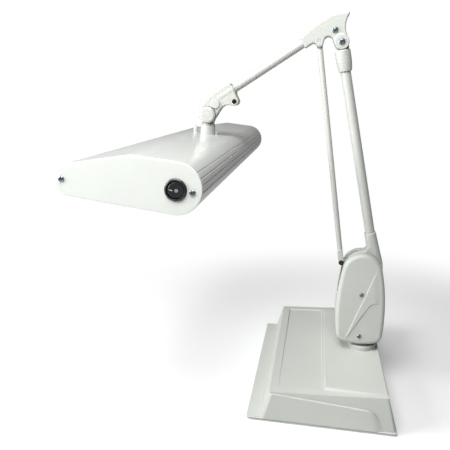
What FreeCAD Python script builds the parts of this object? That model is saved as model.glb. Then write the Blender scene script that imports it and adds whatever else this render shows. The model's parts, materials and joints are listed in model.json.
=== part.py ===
"""Fluorescent task lamp on a balanced arm, in millimetres.

The origin is on the desk under the swivel post. +X points to the back, away from the user, -Y to the end
of the lamp head with the switch, and +Z up. The arms move in the plane y = 0.
"""
import FreeCAD, Part
import Sketcher
import math
import os

SIZES = {
    # Base: distances to the user's side and to the back are from the post
    "plate_user": 168.8,
    "plate_back": 38.0,
    "plate_width": 289.0,
    "plate_thick": 3.9,
    "plate_corner": 3.0,
    "plate_edge": 1.2,
    "pad_thick": 1.2,
    "pad_inset": 4.0,
    "ledge": 19.3,
    "cover_inset": 2.0,
    "cover_corner": 5.0,
    "cover_rim": 2.0,
    "cover_wall": 2.5,
    "user_rake": 12.5,
    "back_rake": 11.4,
    "side_rake": 1.9,
    "top_low": 46.8,
    "top_high": 55.4,
    "panel_start": 12.3,
    "panel_length": 61.0,
    "panel_margin": 12.6,
    "panel_deep": 1.0,
    "field_start": 77.0,
    "field_raise": 1.2,
    "field_bevel": 4.0,
    "field_front_bevel": 10.0,
    "apron_raise": 0.9,
    "apron_start": 43.0,
    "apron_end": 33.5,
    "apron_reach": 8.0,
    "apron_foot": 21.0,
    "apron_turn": 10.0,
    "weight_thick": 24.0,
    "weight_gap": 7.0,
    "foot_screw_length": 12.0,
    "foot_screw_radius": 2.0,
    "foot_screw_head": 4.2,
    "foot_boss_radius": 5.0,
    "socket_radius": 13.0,
    "bush_radius": 10.0,
    "post_radius": 8.0,
    "collar_radius": 21.3,
    "collar_height": 61.8,
    "post_depth": 34.0,
    "inlet_user": 60.0,
    "inlet_height": 22.0,
    "inlet_bore": 3.5,
    "inlet_radius": 6.0,
    "inlet_flange": 8.5,
    # Running and assembly clearances
    "run_gap": 0.05,
    "side_gap": 0.1,
    "fit_gap": 0.3,
    # Spring housing
    "house_shift": 7.6,
    "house_lift": 5.8,
    "crown_below": 8.5,
    "house_crown_radius": 30.0,
    "house_side_radius": 360.0,
    "house_foot_radius": 16.0,
    "house_foot_half": 19.6,
    "house_bottom_radius": 100.0,
    "house_thick": 44.0,
    "house_wall": 2.5,
    "house_round": 6.0,
    "slot_width": 21.0,
    "slot_below": 53.0,
    "crease_raise": 0.9,
    "crease_top": 18.0,
    "crease_foot": 17.6,
    "crease_bend": 10.6,
    "crease_bend_run": 5.8,
    "crease_bend_rise": 7.4,
    "crease_end": 25.6,
    "crease_end_rise": 2.4,
    "screw_below": 42.6,
    "screw_drop": 2.9,
    "screw_head_radius": 3.4,
    "screw_head_thick": 2.2,
    "screw_radius": 2.0,
    "frame_half": 16.0,
    "frame_sheet": 2.0,
    "frame_top_radius": 12.0,
    "spacer_radius": 3.5,
    "anchor_radius": 2.5,
    "anchor_lift": 3.0,
    "spring_radius": 6.0,
    "spring_wire": 1.0,
    "spring_hook": 8.0,
    # Linkage: the main pivot, the arm, and the short link that both ends of the tie rod share
    "pivot_user": 8.0,
    "pivot_height": 193.0,
    "pivot_radius": 4.0,
    "arm_length": 334.3,
    "arm_lean": 7.93,
    "link_length": 31.6,
    "link_rise": 4.54,
    "hub_radius": 23.3,
    "hub_user": 1.8,
    "hub_back": 7.8,
    "hub_fillet": 5.0,
    "hub_neck_rise": 28.0,
    "hub_half": 10.0,
    "hub_slot": 8.8,
    "hub_slot_radius": 21.0,
    "spring_pin_reach": 33.0,
    "arm_eye_angle": 40.0,
    "lever_eye_angle": 105.0,
    "ear_radius": 5.0,
    "tube_radius": 7.15,
    "tube_wall": 1.2,
    "tube_slant": 3.48,
    "tube_set": -0.75,
    "hub_socket_rise": 49.7,
    "hub_socket_radius": 8.4,
    "tube_seat": 22.0,
    "elbow_socket_low": 41.0,
    "elbow_socket_radius": 7.9,
    "neck_radius": 11.1,
    "neck_straight": 22.0,
    "neck_curve": 90.0,
    "neck_top": 9.0,
    "neck_bevel": 3.0,
    "tongue_half": 4.0,
    "tongue_radius": 9.8,
    "elbow_bush_wall": 1.5,
    "elbow_pin_radius": 3.0,
    "lever_half": 3.0,
    "lever_boss": 13.0,
    "lever_hub": 18.0,
    "lever_ear": 4.5,
    "lever_waist": 20.0,
    "lever_belly": 18.0,
    "rivet_radius": 2.0,
    "rivet_head": 3.6,
    "rod_radius": 4.0,
    "rod_eye": 4.4,
    "rod_eye_half": 2.5,
    "clevis_half": 6.3,
    "clevis_radius": 4.6,
    "clevis_length": 17.0,
    "jaw_depth": 9.5,
    "pin_radius": 2.0,
    # Upper arm: across is up from the elbow pivot, along is towards the head
    "upper_angle": 31.7,
    "upper_tube_across": 28.5,
    "upper_tube_radius": 6.35,
    "elbow_half": 8.0,
    "elbow_hub_radius": 10.5,
    "elbow_hub_half": 11.0,
    "elbow_socket_end": 47.0,
    "elbow_tail_across": 28.5,
    "elbow_tail_along": 26.1,
    "elbow_tail_radius": 1.9,
    "elbow_back_radius": 30.0,
    "elbow_shoulder_radius": 35.0,
    "elbow_shoulder_across": 4.6,
    "elbow_shoulder_along": 1.0,
    "elbow_crest_radius": 170.0,
    "elbow_lug_drop": 4.4,
    "elbow_lug_shift": 1.3,
    "elbow_lug_radius": 4.4,
    "elbow_throat_radius": 6.3,
    "elbow_throat_across": 10.9,
    "elbow_throat_along": 15.0,
    "elbow_heel_radius": 3.5,
    "elbow_heel_rise": 10.1,
    "elbow_round": 1.7,
    "lock_screw_across": 19.1,
    "lug_slot_radius": 6.2,
    "head_socket_start": 165.4,
    "head_socket_radius": 9.6,
    "upper_tube_depth": 21.0,
    "elbow_seat": 15.5,
    "tilt_along": 220.0,
    "tilt_across": 16.6,
    "tilt_cheek_radius": 12.0,
    "tilt_half": 9.0,
    "tilt_tongue_half": 3.5,
    "tilt_washer_thick": 0.8,
    "tilt_pin_radius": 3.0,
    "nose_across": 29.2,
    "nose_along": 222.0,
    "nose_radius": 4.0,
    "brow_radius": 110.0,
    "clamp_across": 11.8,
    "clamp_along": 174.0,
    "clamp_radius": 6.5,
    "throat_across": 0.8,
    "throat_along": 192.8,
    "throat_radius": 13.7,
    "clamp_slit": 1.0,
    "clamp_boss_across": 23.8,
    "clamp_boss_along": 200.9,
    "clamp_boss_radius": 6.6,
    "clamp_boss_thick": 2.0,
    "cap_radius": 12.4,
    "cap_thick": 5.5,
    "cap_round": 2.0,
    # Lamp head: across is to the back, along is up, both from the centre of the rear lobe
    "head_tilt": 4.48,
    "head_turn": 0.84,
    "swivel_across": 32.5,
    "joint_rise": 57.8,
    "collar_drop": 15.6,
    "head_collar_radius": 11.3,
    "stem_radius": 10.2,
    "stem_thick": 2.9,
    "eye_margin": 2.0,
    "eye_corner": 1.0,
    "spigot_radius": 6.0,
    "rear_lobe_radius": 27.0,
    "nose_lobe_radius": 17.0,
    "nose_lobe_across": 113.2,
    "nose_lobe_drop": 2.6,
    "crown_radius": 45.0,
    "crown_across": 44.7,
    "crown_drop": 15.7,
    "shade_wall": 1.8,
    "groove_deep": 0.9,
    "groove_half": 0.9,
    "groove_first": 41.0,
    "groove_pitch": 15.0,
    "mouth_back": 24.0,
    "mouth_front": 104.0,
    "head_near": 288.0,
    "head_far": 262.2,
    "end_thick": 2.5,
    "end_screw_back": 17.3,
    "end_screw_front": 121.8,
    "end_screw_drop": 2.3,
    "end_screw_radius": 3.2,
    "switch_drop": 1.1,
    "switch_bezel_radius": 11.7,
    "switch_bezel_thick": 2.0,
    "switch_barrel_radius": 9.9,
    "switch_bore_radius": 9.2,
    "switch_depth": 18.0,
    "switch_pocket": 9.0,
    "rocker_radius": 8.3,
    "rocker_proud": 0.8,
    "rocker_wall": 1.6,
    "rocker_angle": 9.0,
    "rocker_pin_radius": 1.0,
    "rocker_pin_depth": 3.4,
    "reflector_sheet": 0.8,
    "reflector_near": 24.0,
    "reflector_high": 17.0,
    "lamp_radius": 12.9,
    "lamp_length": 437.0,
    "lamp_back": 46.0,
    "lamp_front": 86.0,
    "lamp_height": 1.0,
    "glass_wall": 1.1,
    "cap_length": 12.0,
    "lamp_pin_radius": 1.2,
    "lamp_pin_length": 7.0,
    "lamp_pin_spread": 6.35,
    "holder_thick": 12.0,
    "ballast_length": 150.0,
    "ballast_width": 22.0,
    "ballast_height": 22.0,
    "nut_radius": 14.0,
    "nut_thick": 5.0,
    "nut_drop": 4.0,
    "spigot_proud": 0.7,
    "stud_radius": 3.1,
    "stud_height": 10.5,
    "stud_gap": 19.5,
    "small_stud_radius": 2.2,
    "small_stud_height": 4.0,
    "small_stud_gap": 14.0,
    "stud_tail": 3.3,
}

doc = FreeCAD.newDocument("TaskLamp")
sheet = doc.addObject("Spreadsheet::Sheet", "Sizes")
for row, (alias, number) in enumerate(SIZES.items(), 1):
    sheet.set(f"A{row}", alias)
    sheet.set(f"B{row}", str(number))
    sheet.setAlias(f"B{row}", alias)
doc.recompute()


class Size:
    """A number worked out from the sheet, and the expression that works it out."""

    def __init__(self, number, text):
        self.number = number
        self.text = text

    def join(self, sign, other, number):
        return Size(number, f"({self.text} {sign} {other.text})")

    def __add__(self, other):
        other = sized(other)
        return self.join("+", other, self.number + other.number)

    def __sub__(self, other):
        other = sized(other)
        return self.join("-", other, self.number - other.number)

    def __mul__(self, other):
        other = sized(other)
        return self.join("*", other, self.number * other.number)

    def __truediv__(self, other):
        other = sized(other)
        return self.join("/", other, self.number / other.number)

    def __radd__(self, other):
        return sized(other) + self

    def __rsub__(self, other):
        return sized(other) - self

    def __rmul__(self, other):
        return sized(other) * self

    def __neg__(self):
        return Size(-self.number, f"(0 - {self.text})")


def sized(value):
    if isinstance(value, Size):
        return value
    if value < 0:
        return Size(float(value), f"(0 - {-float(value)})")
    return Size(float(value), f"{float(value)}")


def cosine(angle):
    return Size(math.cos(math.radians(angle.number)), f"cos({angle.text})")


def sine(angle):
    return Size(math.sin(math.radians(angle.number)), f"sin({angle.text})")


def arctangent(ratio):
    return Size(math.degrees(math.atan(ratio.number)), f"(atan({ratio.text}) / 1 deg)")


def root(value):
    return Size(math.sqrt(value.number), f"sqrt({value.text})")


class Sheet:
    """Gives each cell of the sheet by its alias."""

    def __getattr__(self, alias):
        return Size(float(SIZES[alias]), f"Sizes.{alias}")


g = Sheet()


class Frame:
    """A place in the middle plane to build from: its origin, and how far its up axis leans to the user."""

    def __init__(self, x, z, lean):
        self.x = sized(x)
        self.z = sized(z)
        self.lean = sized(lean)

    def point(self, across, along):
        """The x and z of a point given across (to the back) and along (up) in this frame."""
        across = sized(across)
        along = sized(along)
        if self.lean.number == 0:
            return self.x + across, self.z + along
        cos, sin = cosine(self.lean), sine(self.lean)
        return self.x + across * cos - along * sin, self.z + across * sin + along * cos

    def seen(self, x, z):
        """The across and along of a point given by its x and z."""
        right, up = x - self.x, z - self.z
        cos, sin = cosine(self.lean), sine(self.lean)
        return right * cos + up * sin, up * cos - right * sin


def bind(thing, target, value):
    thing.setExpression(target, sized(value).text)


def place(thing, frame, across=0, along=0, y=0, turn="flat"):
    """Puts a piece at a point of a frame. Its Z axis stays along the frame, or turns to a side."""
    x, z = frame.point(across, along)
    y = sized(y)
    if turn == "near":
        spin = FreeCAD.Rotation(FreeCAD.Vector(1, 0, 0), 90)
    elif turn == "far":
        spin = FreeCAD.Rotation(FreeCAD.Vector(1, 0, 0), -90)
    else:
        spin = FreeCAD.Rotation(FreeCAD.Vector(0, 1, 0), -frame.lean.number)
    thing.Placement = FreeCAD.Placement(FreeCAD.Vector(x.number, y.number, z.number), spin)
    bind(thing, "Placement.Base.x", x)
    bind(thing, "Placement.Base.y", y)
    bind(thing, "Placement.Base.z", z)
    if turn == "flat" and frame.lean.number != 0:
        bind(thing, "Placement.Rotation.Angle", -frame.lean)
    return thing


WORLD = Frame(0, 0, 0)
nodes = {}


def node(label, thing):
    """Names a finished sub-part."""
    thing.Label = label
    nodes[label] = thing
    return thing


def new_body(name):
    return doc.addObject("PartDesign::Body", name)


def new_sketch(body, plane="XZ_Plane", height=None):
    """An empty sketch on one of the body's own planes, raised by a height if one is given."""
    sketch = body.newObject("Sketcher::SketchObject", "Outline")
    support = [f for f in body.Origin.OriginFeatures if f.Role == plane][0]
    sketch.AttachmentSupport = (support, [""])
    sketch.MapMode = "FlatFace"
    if height is not None:
        bind(sketch, "AttachmentOffset.Base.z", height)
    return sketch


def constrain(sketch, rules, bound):
    """Adds constraints, and binds those that carry a size to its expression."""
    first = len(sketch.Constraints)
    sketch.addConstraint(rules + [rule for rule, _ in bound])
    for offset, (_, value) in enumerate(bound):
        bind(sketch, f"Constraints[{first + len(rules) + offset}]", value)


def at(part, position, x, y):
    """Rules that hold a point of a sketch at x and y from its origin."""
    x, y = sized(x), sized(y)
    return [(Sketcher.Constraint("DistanceX", -1, 1, part, position, x.number), x),
            (Sketcher.Constraint("DistanceY", -1, 1, part, position, y.number), y)]


def polygon(sketch, corners):
    """A closed outline of straight edges."""
    corners = [(sized(x), sized(y)) for x, y in corners]
    places = [FreeCAD.Vector(x.number, y.number, 0) for x, y in corners]
    count = len(corners)
    edges = [sketch.addGeometry(Part.LineSegment(places[k], places[(k + 1) % count]), False)
             for k in range(count)]
    rules = [Sketcher.Constraint("Coincident", edges[k], 2, edges[(k + 1) % count], 1) for k in range(count)]
    bound = []
    for edge, (x, y) in zip(edges, corners):
        bound += at(edge, 1, x, y)
    constrain(sketch, rules, bound)


def circle(sketch, x, y, radius):
    x, y, radius = sized(x), sized(y), sized(radius)
    centre = FreeCAD.Vector(x.number, y.number, 0)
    ring = sketch.addGeometry(Part.Circle(centre, FreeCAD.Vector(0, 0, 1), radius.number), False)
    bound = at(ring, 3, x, y) + [(Sketcher.Constraint("Radius", ring, radius.number), radius)]
    constrain(sketch, [], bound)


def angle(centre, point):
    return math.atan2(point[1] - centre[1], point[0] - centre[0])


def tangent_line(a, b):
    """Where a line that leaves circle a and meets circle b touches them. Hollow ones are on its right."""
    (ax, ay, ar), (bx, by, br) = a, b
    span = math.hypot(bx - ax, by - ay)
    heading = math.atan2(by - ay, bx - ax) + math.asin((ar - br) / span)
    nx, ny = math.sin(heading), -math.cos(heading)
    return (ax + ar * nx, ay + ar * ny), (bx + br * nx, by + br * ny)


def tangent_arc(a, b, radius):
    """The centre of an arc that joins circles a and b, and where it touches them."""
    (ax, ay, ar), (bx, by, br) = a, b
    near, far = abs(radius - ar), abs(radius - br)
    span = math.hypot(bx - ax, by - ay)
    step = (near ** 2 - far ** 2 + span ** 2) / (2 * span)
    rise = math.copysign(math.sqrt(near ** 2 - step ** 2), radius)
    ux, uy = (bx - ax) / span, (by - ay) / span
    middle = (ax + step * ux - rise * uy, ay + step * uy + rise * ux)
    ends = []
    for x, y, r in (a, b):
        share = r / math.hypot(x - middle[0], y - middle[1]) * math.copysign(1, radius - r)
        ends.append((x + share * (x - middle[0]), y + share * (y - middle[1])))
    return middle, ends[0], ends[1]


def belt(sketch, rounds, links=None):
    """A closed outline that runs counterclockwise round circles, like a belt.

    rounds holds (x, y, radius), with a negative radius where the outline is hollow. links holds, for
    each round, what leads on to the next one: None for the common tangent line, or the radius of a
    tangent arc, negative where the outline is hollow.
    """
    rounds = [tuple(sized(value) for value in one) for one in rounds]
    plain = [tuple(value.number for value in one) for one in rounds]
    count = len(rounds)
    links = [None if link is None else sized(link) for link in links or [None] * count]
    leave, reach, middles = [], [], []
    for k, link in enumerate(links):
        a, b = plain[k], plain[(k + 1) % count]
        if link is None:
            middle, (start, end) = None, tangent_line(a, b)
        else:
            middle, start, end = tangent_arc(a, b, link.number)
        middles.append(middle)
        leave.append(start)
        reach.append(end)
    pieces, bound = [], []

    def add_arc(centre, radius, first, last):
        """Adds an arc from first to last, clockwise where the radius is negative."""
        circle = Part.Circle(FreeCAD.Vector(*centre, 0), FreeCAD.Vector(0, 0, 1), abs(radius.number))
        start, end = angle(centre, first), angle(centre, last)
        hollow = radius.number < 0
        arc = Part.ArcOfCircle(circle, end, start) if hollow else Part.ArcOfCircle(circle, start, end)
        number = sketch.addGeometry(arc, False)
        pieces.append((number, 2, 1) if hollow else (number, 1, 2))
        size = -radius if hollow else radius
        bound.append((Sketcher.Constraint("Radius", number, size.number), size))
        return number

    for k in range(count):
        x, y, radius = rounds[k]
        arc = add_arc((x.number, y.number), radius, reach[k - 1], leave[k])
        bound += at(arc, 3, x, y)
        if links[k] is None:
            line = Part.LineSegment(FreeCAD.Vector(*leave[k], 0), FreeCAD.Vector(*reach[k], 0))
            pieces.append((sketch.addGeometry(line, False), 1, 2))
        else:
            add_arc(middles[k], links[k], leave[k], reach[k])
    rules = []
    for one, other in zip(pieces, pieces[1:] + pieces[:1]):
        rules.append(Sketcher.Constraint("Tangent", one[0], one[2], other[0], other[1]))
    constrain(sketch, rules, bound)


def slab(name, thick, draw, plane="XZ_Plane"):
    """A body padded evenly to both sides of its plane. draw is called with the sketch."""
    body = new_body(name)
    sketch = new_sketch(body, plane)
    draw(sketch)
    pad = body.newObject("PartDesign::Pad", "Pad")
    pad.Profile = sketch
    pad.SideType = "Symmetric"
    bind(pad, "Length", thick)
    doc.recompute()
    return body


def carve(body, thick, draw, plane="XZ_Plane", height=None):
    """Cuts a pocket evenly to both sides of a plane of the body."""
    before = body.Shape.Volume
    sketch = new_sketch(body, plane, height)
    draw(sketch)
    pocket = body.newObject("PartDesign::Pocket", "Pocket")
    pocket.Profile = sketch
    pocket.SideType = "Symmetric"
    bind(pocket, "Length", thick)
    doc.recompute()
    if not body.Shape.Volume < before:
        raise ValueError(f"the pocket in {body.Name} cuts nothing")
    return body


def soften(body, radius, chosen, kind="PartDesign::Fillet"):
    """Rounds or chamfers the edges of the body for which chosen is true."""
    tip = body.Tip
    names = [f"Edge{k}" for k, edge in enumerate(tip.Shape.Edges, 1) if chosen(edge)]
    feature = body.newObject(kind, "Edge")
    feature.Base = (tip, names)
    bind(feature, "Radius" if kind.endswith("Fillet") else "Size", radius)
    doc.recompute()
    return body


def rims(half, axis="y"):
    """Chooses the edges that lie in the plane at plus or minus half along an axis."""
    index = "xyz".index(axis)

    def chosen(edge):
        return all(abs(abs(v.Point[index]) - half.number) < 1e-3 for v in edge.Vertexes)

    return chosen


def turned(name, profile):
    """A body turned about its Z axis from an outline of (radius, height) points."""
    body = new_body(name)
    sketch = new_sketch(body)
    polygon(sketch, profile)
    turn = body.newObject("PartDesign::Revolution", "Turn")
    turn.Profile = sketch
    turn.ReferenceAxis = (sketch, ["V_Axis"])
    turn.Angle = 360
    doc.recompute()
    return body


def rod(name, radius, length, start=0):
    """A plain turned rod from start along Z."""
    end = start + sized(length)
    return turned(name, [(0, start), (radius, start), (radius, end), (0, end)])


def ring(name, inner, outer, length, start=0):
    end = start + sized(length)
    return turned(name, [(inner, start), (outer, start), (outer, end), (inner, end)])


def screw(name, radius, length, head, thick):
    """A pan head screw: its shank runs down from zero, and its domed head stands above."""
    return turned(name, [(0, -sized(length)), (radius, -sized(length)), (radius, 0), (head, 0),
                         (head, thick * 0.45), (head * 0.72, thick * 0.9), (0, thick)])


def block(name, x, y, z):
    """A box centred on its X and Y, standing on zero."""
    thing = doc.addObject("Part::Box", name)
    bind(thing, "Length", x)
    bind(thing, "Width", y)
    bind(thing, "Height", z)
    return thing


def joined(name, parts):
    fuse = doc.addObject("Part::MultiFuse", name)
    fuse.Shapes = parts
    fuse.Refine = True
    return fuse


def without(name, base, tools):
    """What is left of the base once the tools are taken out of it."""
    tool = tools[0] if len(tools) == 1 else joined(name + "Tools", tools)
    cut = doc.addObject("Part::Cut", name)
    cut.Base = base
    cut.Tool = tool
    cut.Refine = True
    return cut


def group(name, parts):
    """Like pieces that share one node."""
    thing = doc.addObject("Part::Compound", name)
    thing.Links = parts
    return thing


def vector(x, y, z):
    """The text of a vector in an expression."""
    return "vector({}; {}; {})".format(*(sized(value).text for value in (x, y, z)))


def head_node(label, thing):
    """Names a piece of the head. The whole head stands a little turned about its swivel axis."""
    turned_piece = group("Turned", [thing])
    x, z = HEAD.point(-g.swivel_across, 0)
    axis = vector(-sine(HEAD.lean), 0, cosine(HEAD.lean))
    bind(turned_piece, "Placement", Size(0, f"placement({vector(0, 0, 0)}; "
                                            f"rotation({axis}; {g.head_turn.text}); {vector(x, 0, z)})"))
    return node(label, turned_piece)


def spring_eye(below):
    """A point at the spring reach from the main pivot, at an angle below the horizontal."""
    return PIVOT.x + g.spring_pin_reach * cosine(below), PIVOT.z - g.spring_pin_reach * sine(below)


# Frames that the pieces are built in
plate_top = g.pad_thick + g.plate_thick
cover_user = g.plate_user - g.ledge
foot_back = g.plate_back - g.cover_inset
cover_half = g.plate_width / 2 - g.cover_inset
top_user = cover_user - g.user_rake
top_back = foot_back - g.back_rake
top_half = cover_half - g.side_rake
panel_width = (top_half - g.panel_margin) * 2
slope = (g.top_high - g.top_low) / (top_user + top_back)
TOP = Frame(-top_user, g.top_low, arctangent(slope))
HOUSE = Frame(-g.house_shift, 0, 0)
PIVOT = Frame(-g.pivot_user, g.pivot_height, g.arm_lean)
elbow_x, elbow_z = PIVOT.point(0, g.arm_length)
LINK = Frame(-g.pivot_user, g.pivot_height, g.link_rise * -1)
TUBE = Frame(*PIVOT.point(g.tube_set, g.arm_length), g.arm_lean + g.tube_slant)
UPPER = Frame(elbow_x, elbow_z, g.upper_angle + 90)
tilt_x, tilt_z = UPPER.point(g.tilt_across, g.tilt_along)
JOINT = Frame(tilt_x, tilt_z, -g.head_tilt)
HEAD = Frame(*JOINT.point(g.swivel_across, -g.joint_rise), -g.head_tilt)
pivot_in_tube = TUBE.seen(PIVOT.x, PIVOT.z)
rod_low = LINK.point(-g.link_length, 0)
rod_high = (elbow_x + rod_low[0] - PIVOT.x, elbow_z + rod_low[1] - PIVOT.z)
ROD = Frame(*rod_low, g.arm_lean)
post_top = TOP.z + (0 - TOP.x) * slope
arm_eye, lever_eye = spring_eye(g.arm_eye_angle), spring_eye(g.lever_eye_angle)
house_low = g.collar_height + g.house_lift
house_foot_height = house_low + g.house_foot_radius
house_crown = g.pivot_height - g.crown_below
slot_floor = g.pivot_height - g.slot_below
anchor_height = house_foot_height + g.anchor_lift
screw_heights = (g.pivot_height - g.screw_below, house_foot_height - g.screw_drop)
frame_foot = g.house_foot_radius - g.house_wall - g.fit_gap
frame_low = house_foot_height - frame_foot


def make_base_plate():
    """The painted plate: its user's edge is the ledge in front of the cover."""
    body = slab("BasePlate", g.plate_thick, lambda s: polygon(s, [
        (-g.plate_user, -g.plate_width / 2), (g.plate_back, -g.plate_width / 2),
        (g.plate_back, g.plate_width / 2), (-g.plate_user, g.plate_width / 2)]), "XY_Plane")
    soften(body, g.plate_corner, lambda e: abs(e.tangentAt(e.FirstParameter).z) > 0.9)
    top = (g.plate_thick / 2).number
    soften(body, g.plate_edge, lambda e: all(abs(v.Point.z - top) < 1e-3 for v in e.Vertexes),
           "PartDesign::Chamfer")
    place(body, WORLD, 0, g.pad_thick + g.plate_thick / 2)
    spots = foot_screw_spots()
    holes = [place(rod("PlateHole", g.foot_screw_radius + g.fit_gap, g.plate_thick * 3, -g.plate_thick),
                   WORLD, x, g.pad_thick, y) for x, y in spots]
    sinks = [place(rod("PlateSink", g.foot_screw_head + g.fit_gap, g.plate_thick / 2, -g.plate_thick / 4),
                   WORLD, x, g.pad_thick, y) for x, y in spots]
    node("base_plate", without("PlateDrilled", body, holes + sinks))
    pad = slab("BasePad", g.pad_thick, lambda s: polygon(s, [
        (-g.plate_user + g.pad_inset, -g.plate_width / 2 + g.pad_inset),
        (g.plate_back - g.pad_inset, -g.plate_width / 2 + g.pad_inset),
        (g.plate_back - g.pad_inset, g.plate_width / 2 - g.pad_inset),
        (-g.plate_user + g.pad_inset, g.plate_width / 2 - g.pad_inset)]), "XY_Plane")
    node("base_pad", place(pad, WORLD, 0, g.pad_thick / 2))


def foot_screw_spots():
    """Where the screws that hold the plate to the cover stand, in their four corners."""
    near = cover_user - g.cover_wall - g.foot_boss_radius - 4
    back = foot_back - g.cover_wall - g.foot_boss_radius - 6
    side = top_half - g.cover_wall - g.foot_boss_radius - 1
    return [(x, y) for x in (-near, back) for y in (-side, side)]


def make_base_cover():
    """The tapered cover: its top rises from the user's side to the post, with a panel and a raised field."""
    half = cover_half
    high = g.top_high + 5

    def side_view(sketch):
        polygon(sketch, [(-cover_user, plate_top), (foot_back, plate_top), (top_back, g.top_high),
                         (-top_user, g.top_low)])

    body = slab("CoverBlock", half * 2, side_view)
    drop = (half - top_half) / (g.top_high - plate_top)
    for side in (-1, 1):
        carve(body, (cover_user + foot_back) * 3, lambda s: polygon(s, [
            (half * side, plate_top), ((half + 5) * side, plate_top), ((half + 5) * side, high),
            ((half - drop * (high - plate_top)) * side, high)]), "YZ_Plane")
    level = plate_top.number + 1e-3
    soften(body, g.cover_corner, lambda e: upright(e, level))
    soften(body, g.cover_rim, lambda e: all(v.Point.z > g.top_low.number - 6 for v in e.Vertexes))

    field = new_body("RaisedField")
    user, back = g.field_start, (top_user + top_back) / cosine(TOP.lean) - 1
    low, top = new_sketch(field, "XY_Plane"), new_sketch(field, "XY_Plane", g.field_raise)
    side, inner = top_half - g.cover_rim, top_half - g.field_front_bevel - g.cover_rim
    polygon(low, [(user, -side), (back, -side), (back, side), (user, side)])
    polygon(top, [(user + g.field_bevel, -inner), (back - 1, -inner), (back - 1, inner),
                  (user + g.field_bevel, inner)])
    loft = field.newObject("PartDesign::AdditiveLoft", "Loft")
    loft.Profile = low
    loft.Sections = [top]
    loft.Ruled = True
    doc.recompute()
    place(field, TOP, 0, -g.field_raise / 4)

    apron = slab("Apron", g.apron_raise * 2, lambda s: belt(s, [
        (-cover_user + 6, plate_top + 1.6, 1), (g.apron_foot - 1, plate_top + 1.6, 1),
        (g.apron_reach - g.apron_turn * 0.55, g.apron_end - g.apron_turn, g.apron_turn),
        (-top_user + 1, g.apron_start - 1, 1)]))
    apron.Placement = FreeCAD.Placement(
        FreeCAD.Vector(0, -(half.number), 0),
        FreeCAD.Rotation(FreeCAD.Vector(1, 0, 0), -math.degrees(math.atan(drop.number))),
        FreeCAD.Vector(0, 0, plate_top.number))

    wall = g.cover_wall
    hollow = slab("CoverHollow", (top_half - wall - 1) * 2, lambda s: polygon(s, [
        (-cover_user + wall, plate_top - 1), (foot_back - wall, plate_top - 1),
        (top_back - wall, g.top_high - wall), (-top_user + wall, g.top_low - wall)]))
    panel = block("Panel", g.panel_length, panel_width, g.panel_deep * 3)
    place(panel, TOP, g.panel_start, -g.panel_deep, -panel_width / 2)
    opening = place(rod("CollarHole", g.collar_radius + g.fit_gap, 30), WORLD, 0, post_top - 15)
    inlet = place(rod("InletHole", g.inlet_radius + g.fit_gap, 16), WORLD, -g.inlet_user, g.inlet_height,
                  half - 10, "far")
    shell = without("CoverShell", joined("CoverOuter", [body, field, apron]), [hollow, panel, opening, inlet])
    reach = g.top_low - wall - plate_top
    bosses, bores = [], []
    for x, y in foot_screw_spots():
        bosses.append(place(rod("Boss", g.foot_boss_radius, reach + 1), WORLD, x, plate_top + g.side_gap, y))
        bores.append(place(rod("BossBore", g.foot_screw_radius, g.foot_screw_length + 2, -1),
                           WORLD, x, plate_top, y))
    node("base_cover", without("CoverBored", joined("CoverBosses", [shell] + bosses), bores))


def upright(edge, level):
    """True for the four slanting corner edges of the cover."""
    low, high = sorted(v.Point.z for v in edge.Vertexes)[0], sorted(v.Point.z for v in edge.Vertexes)[-1]
    return low < level and high > level + 20


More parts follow.
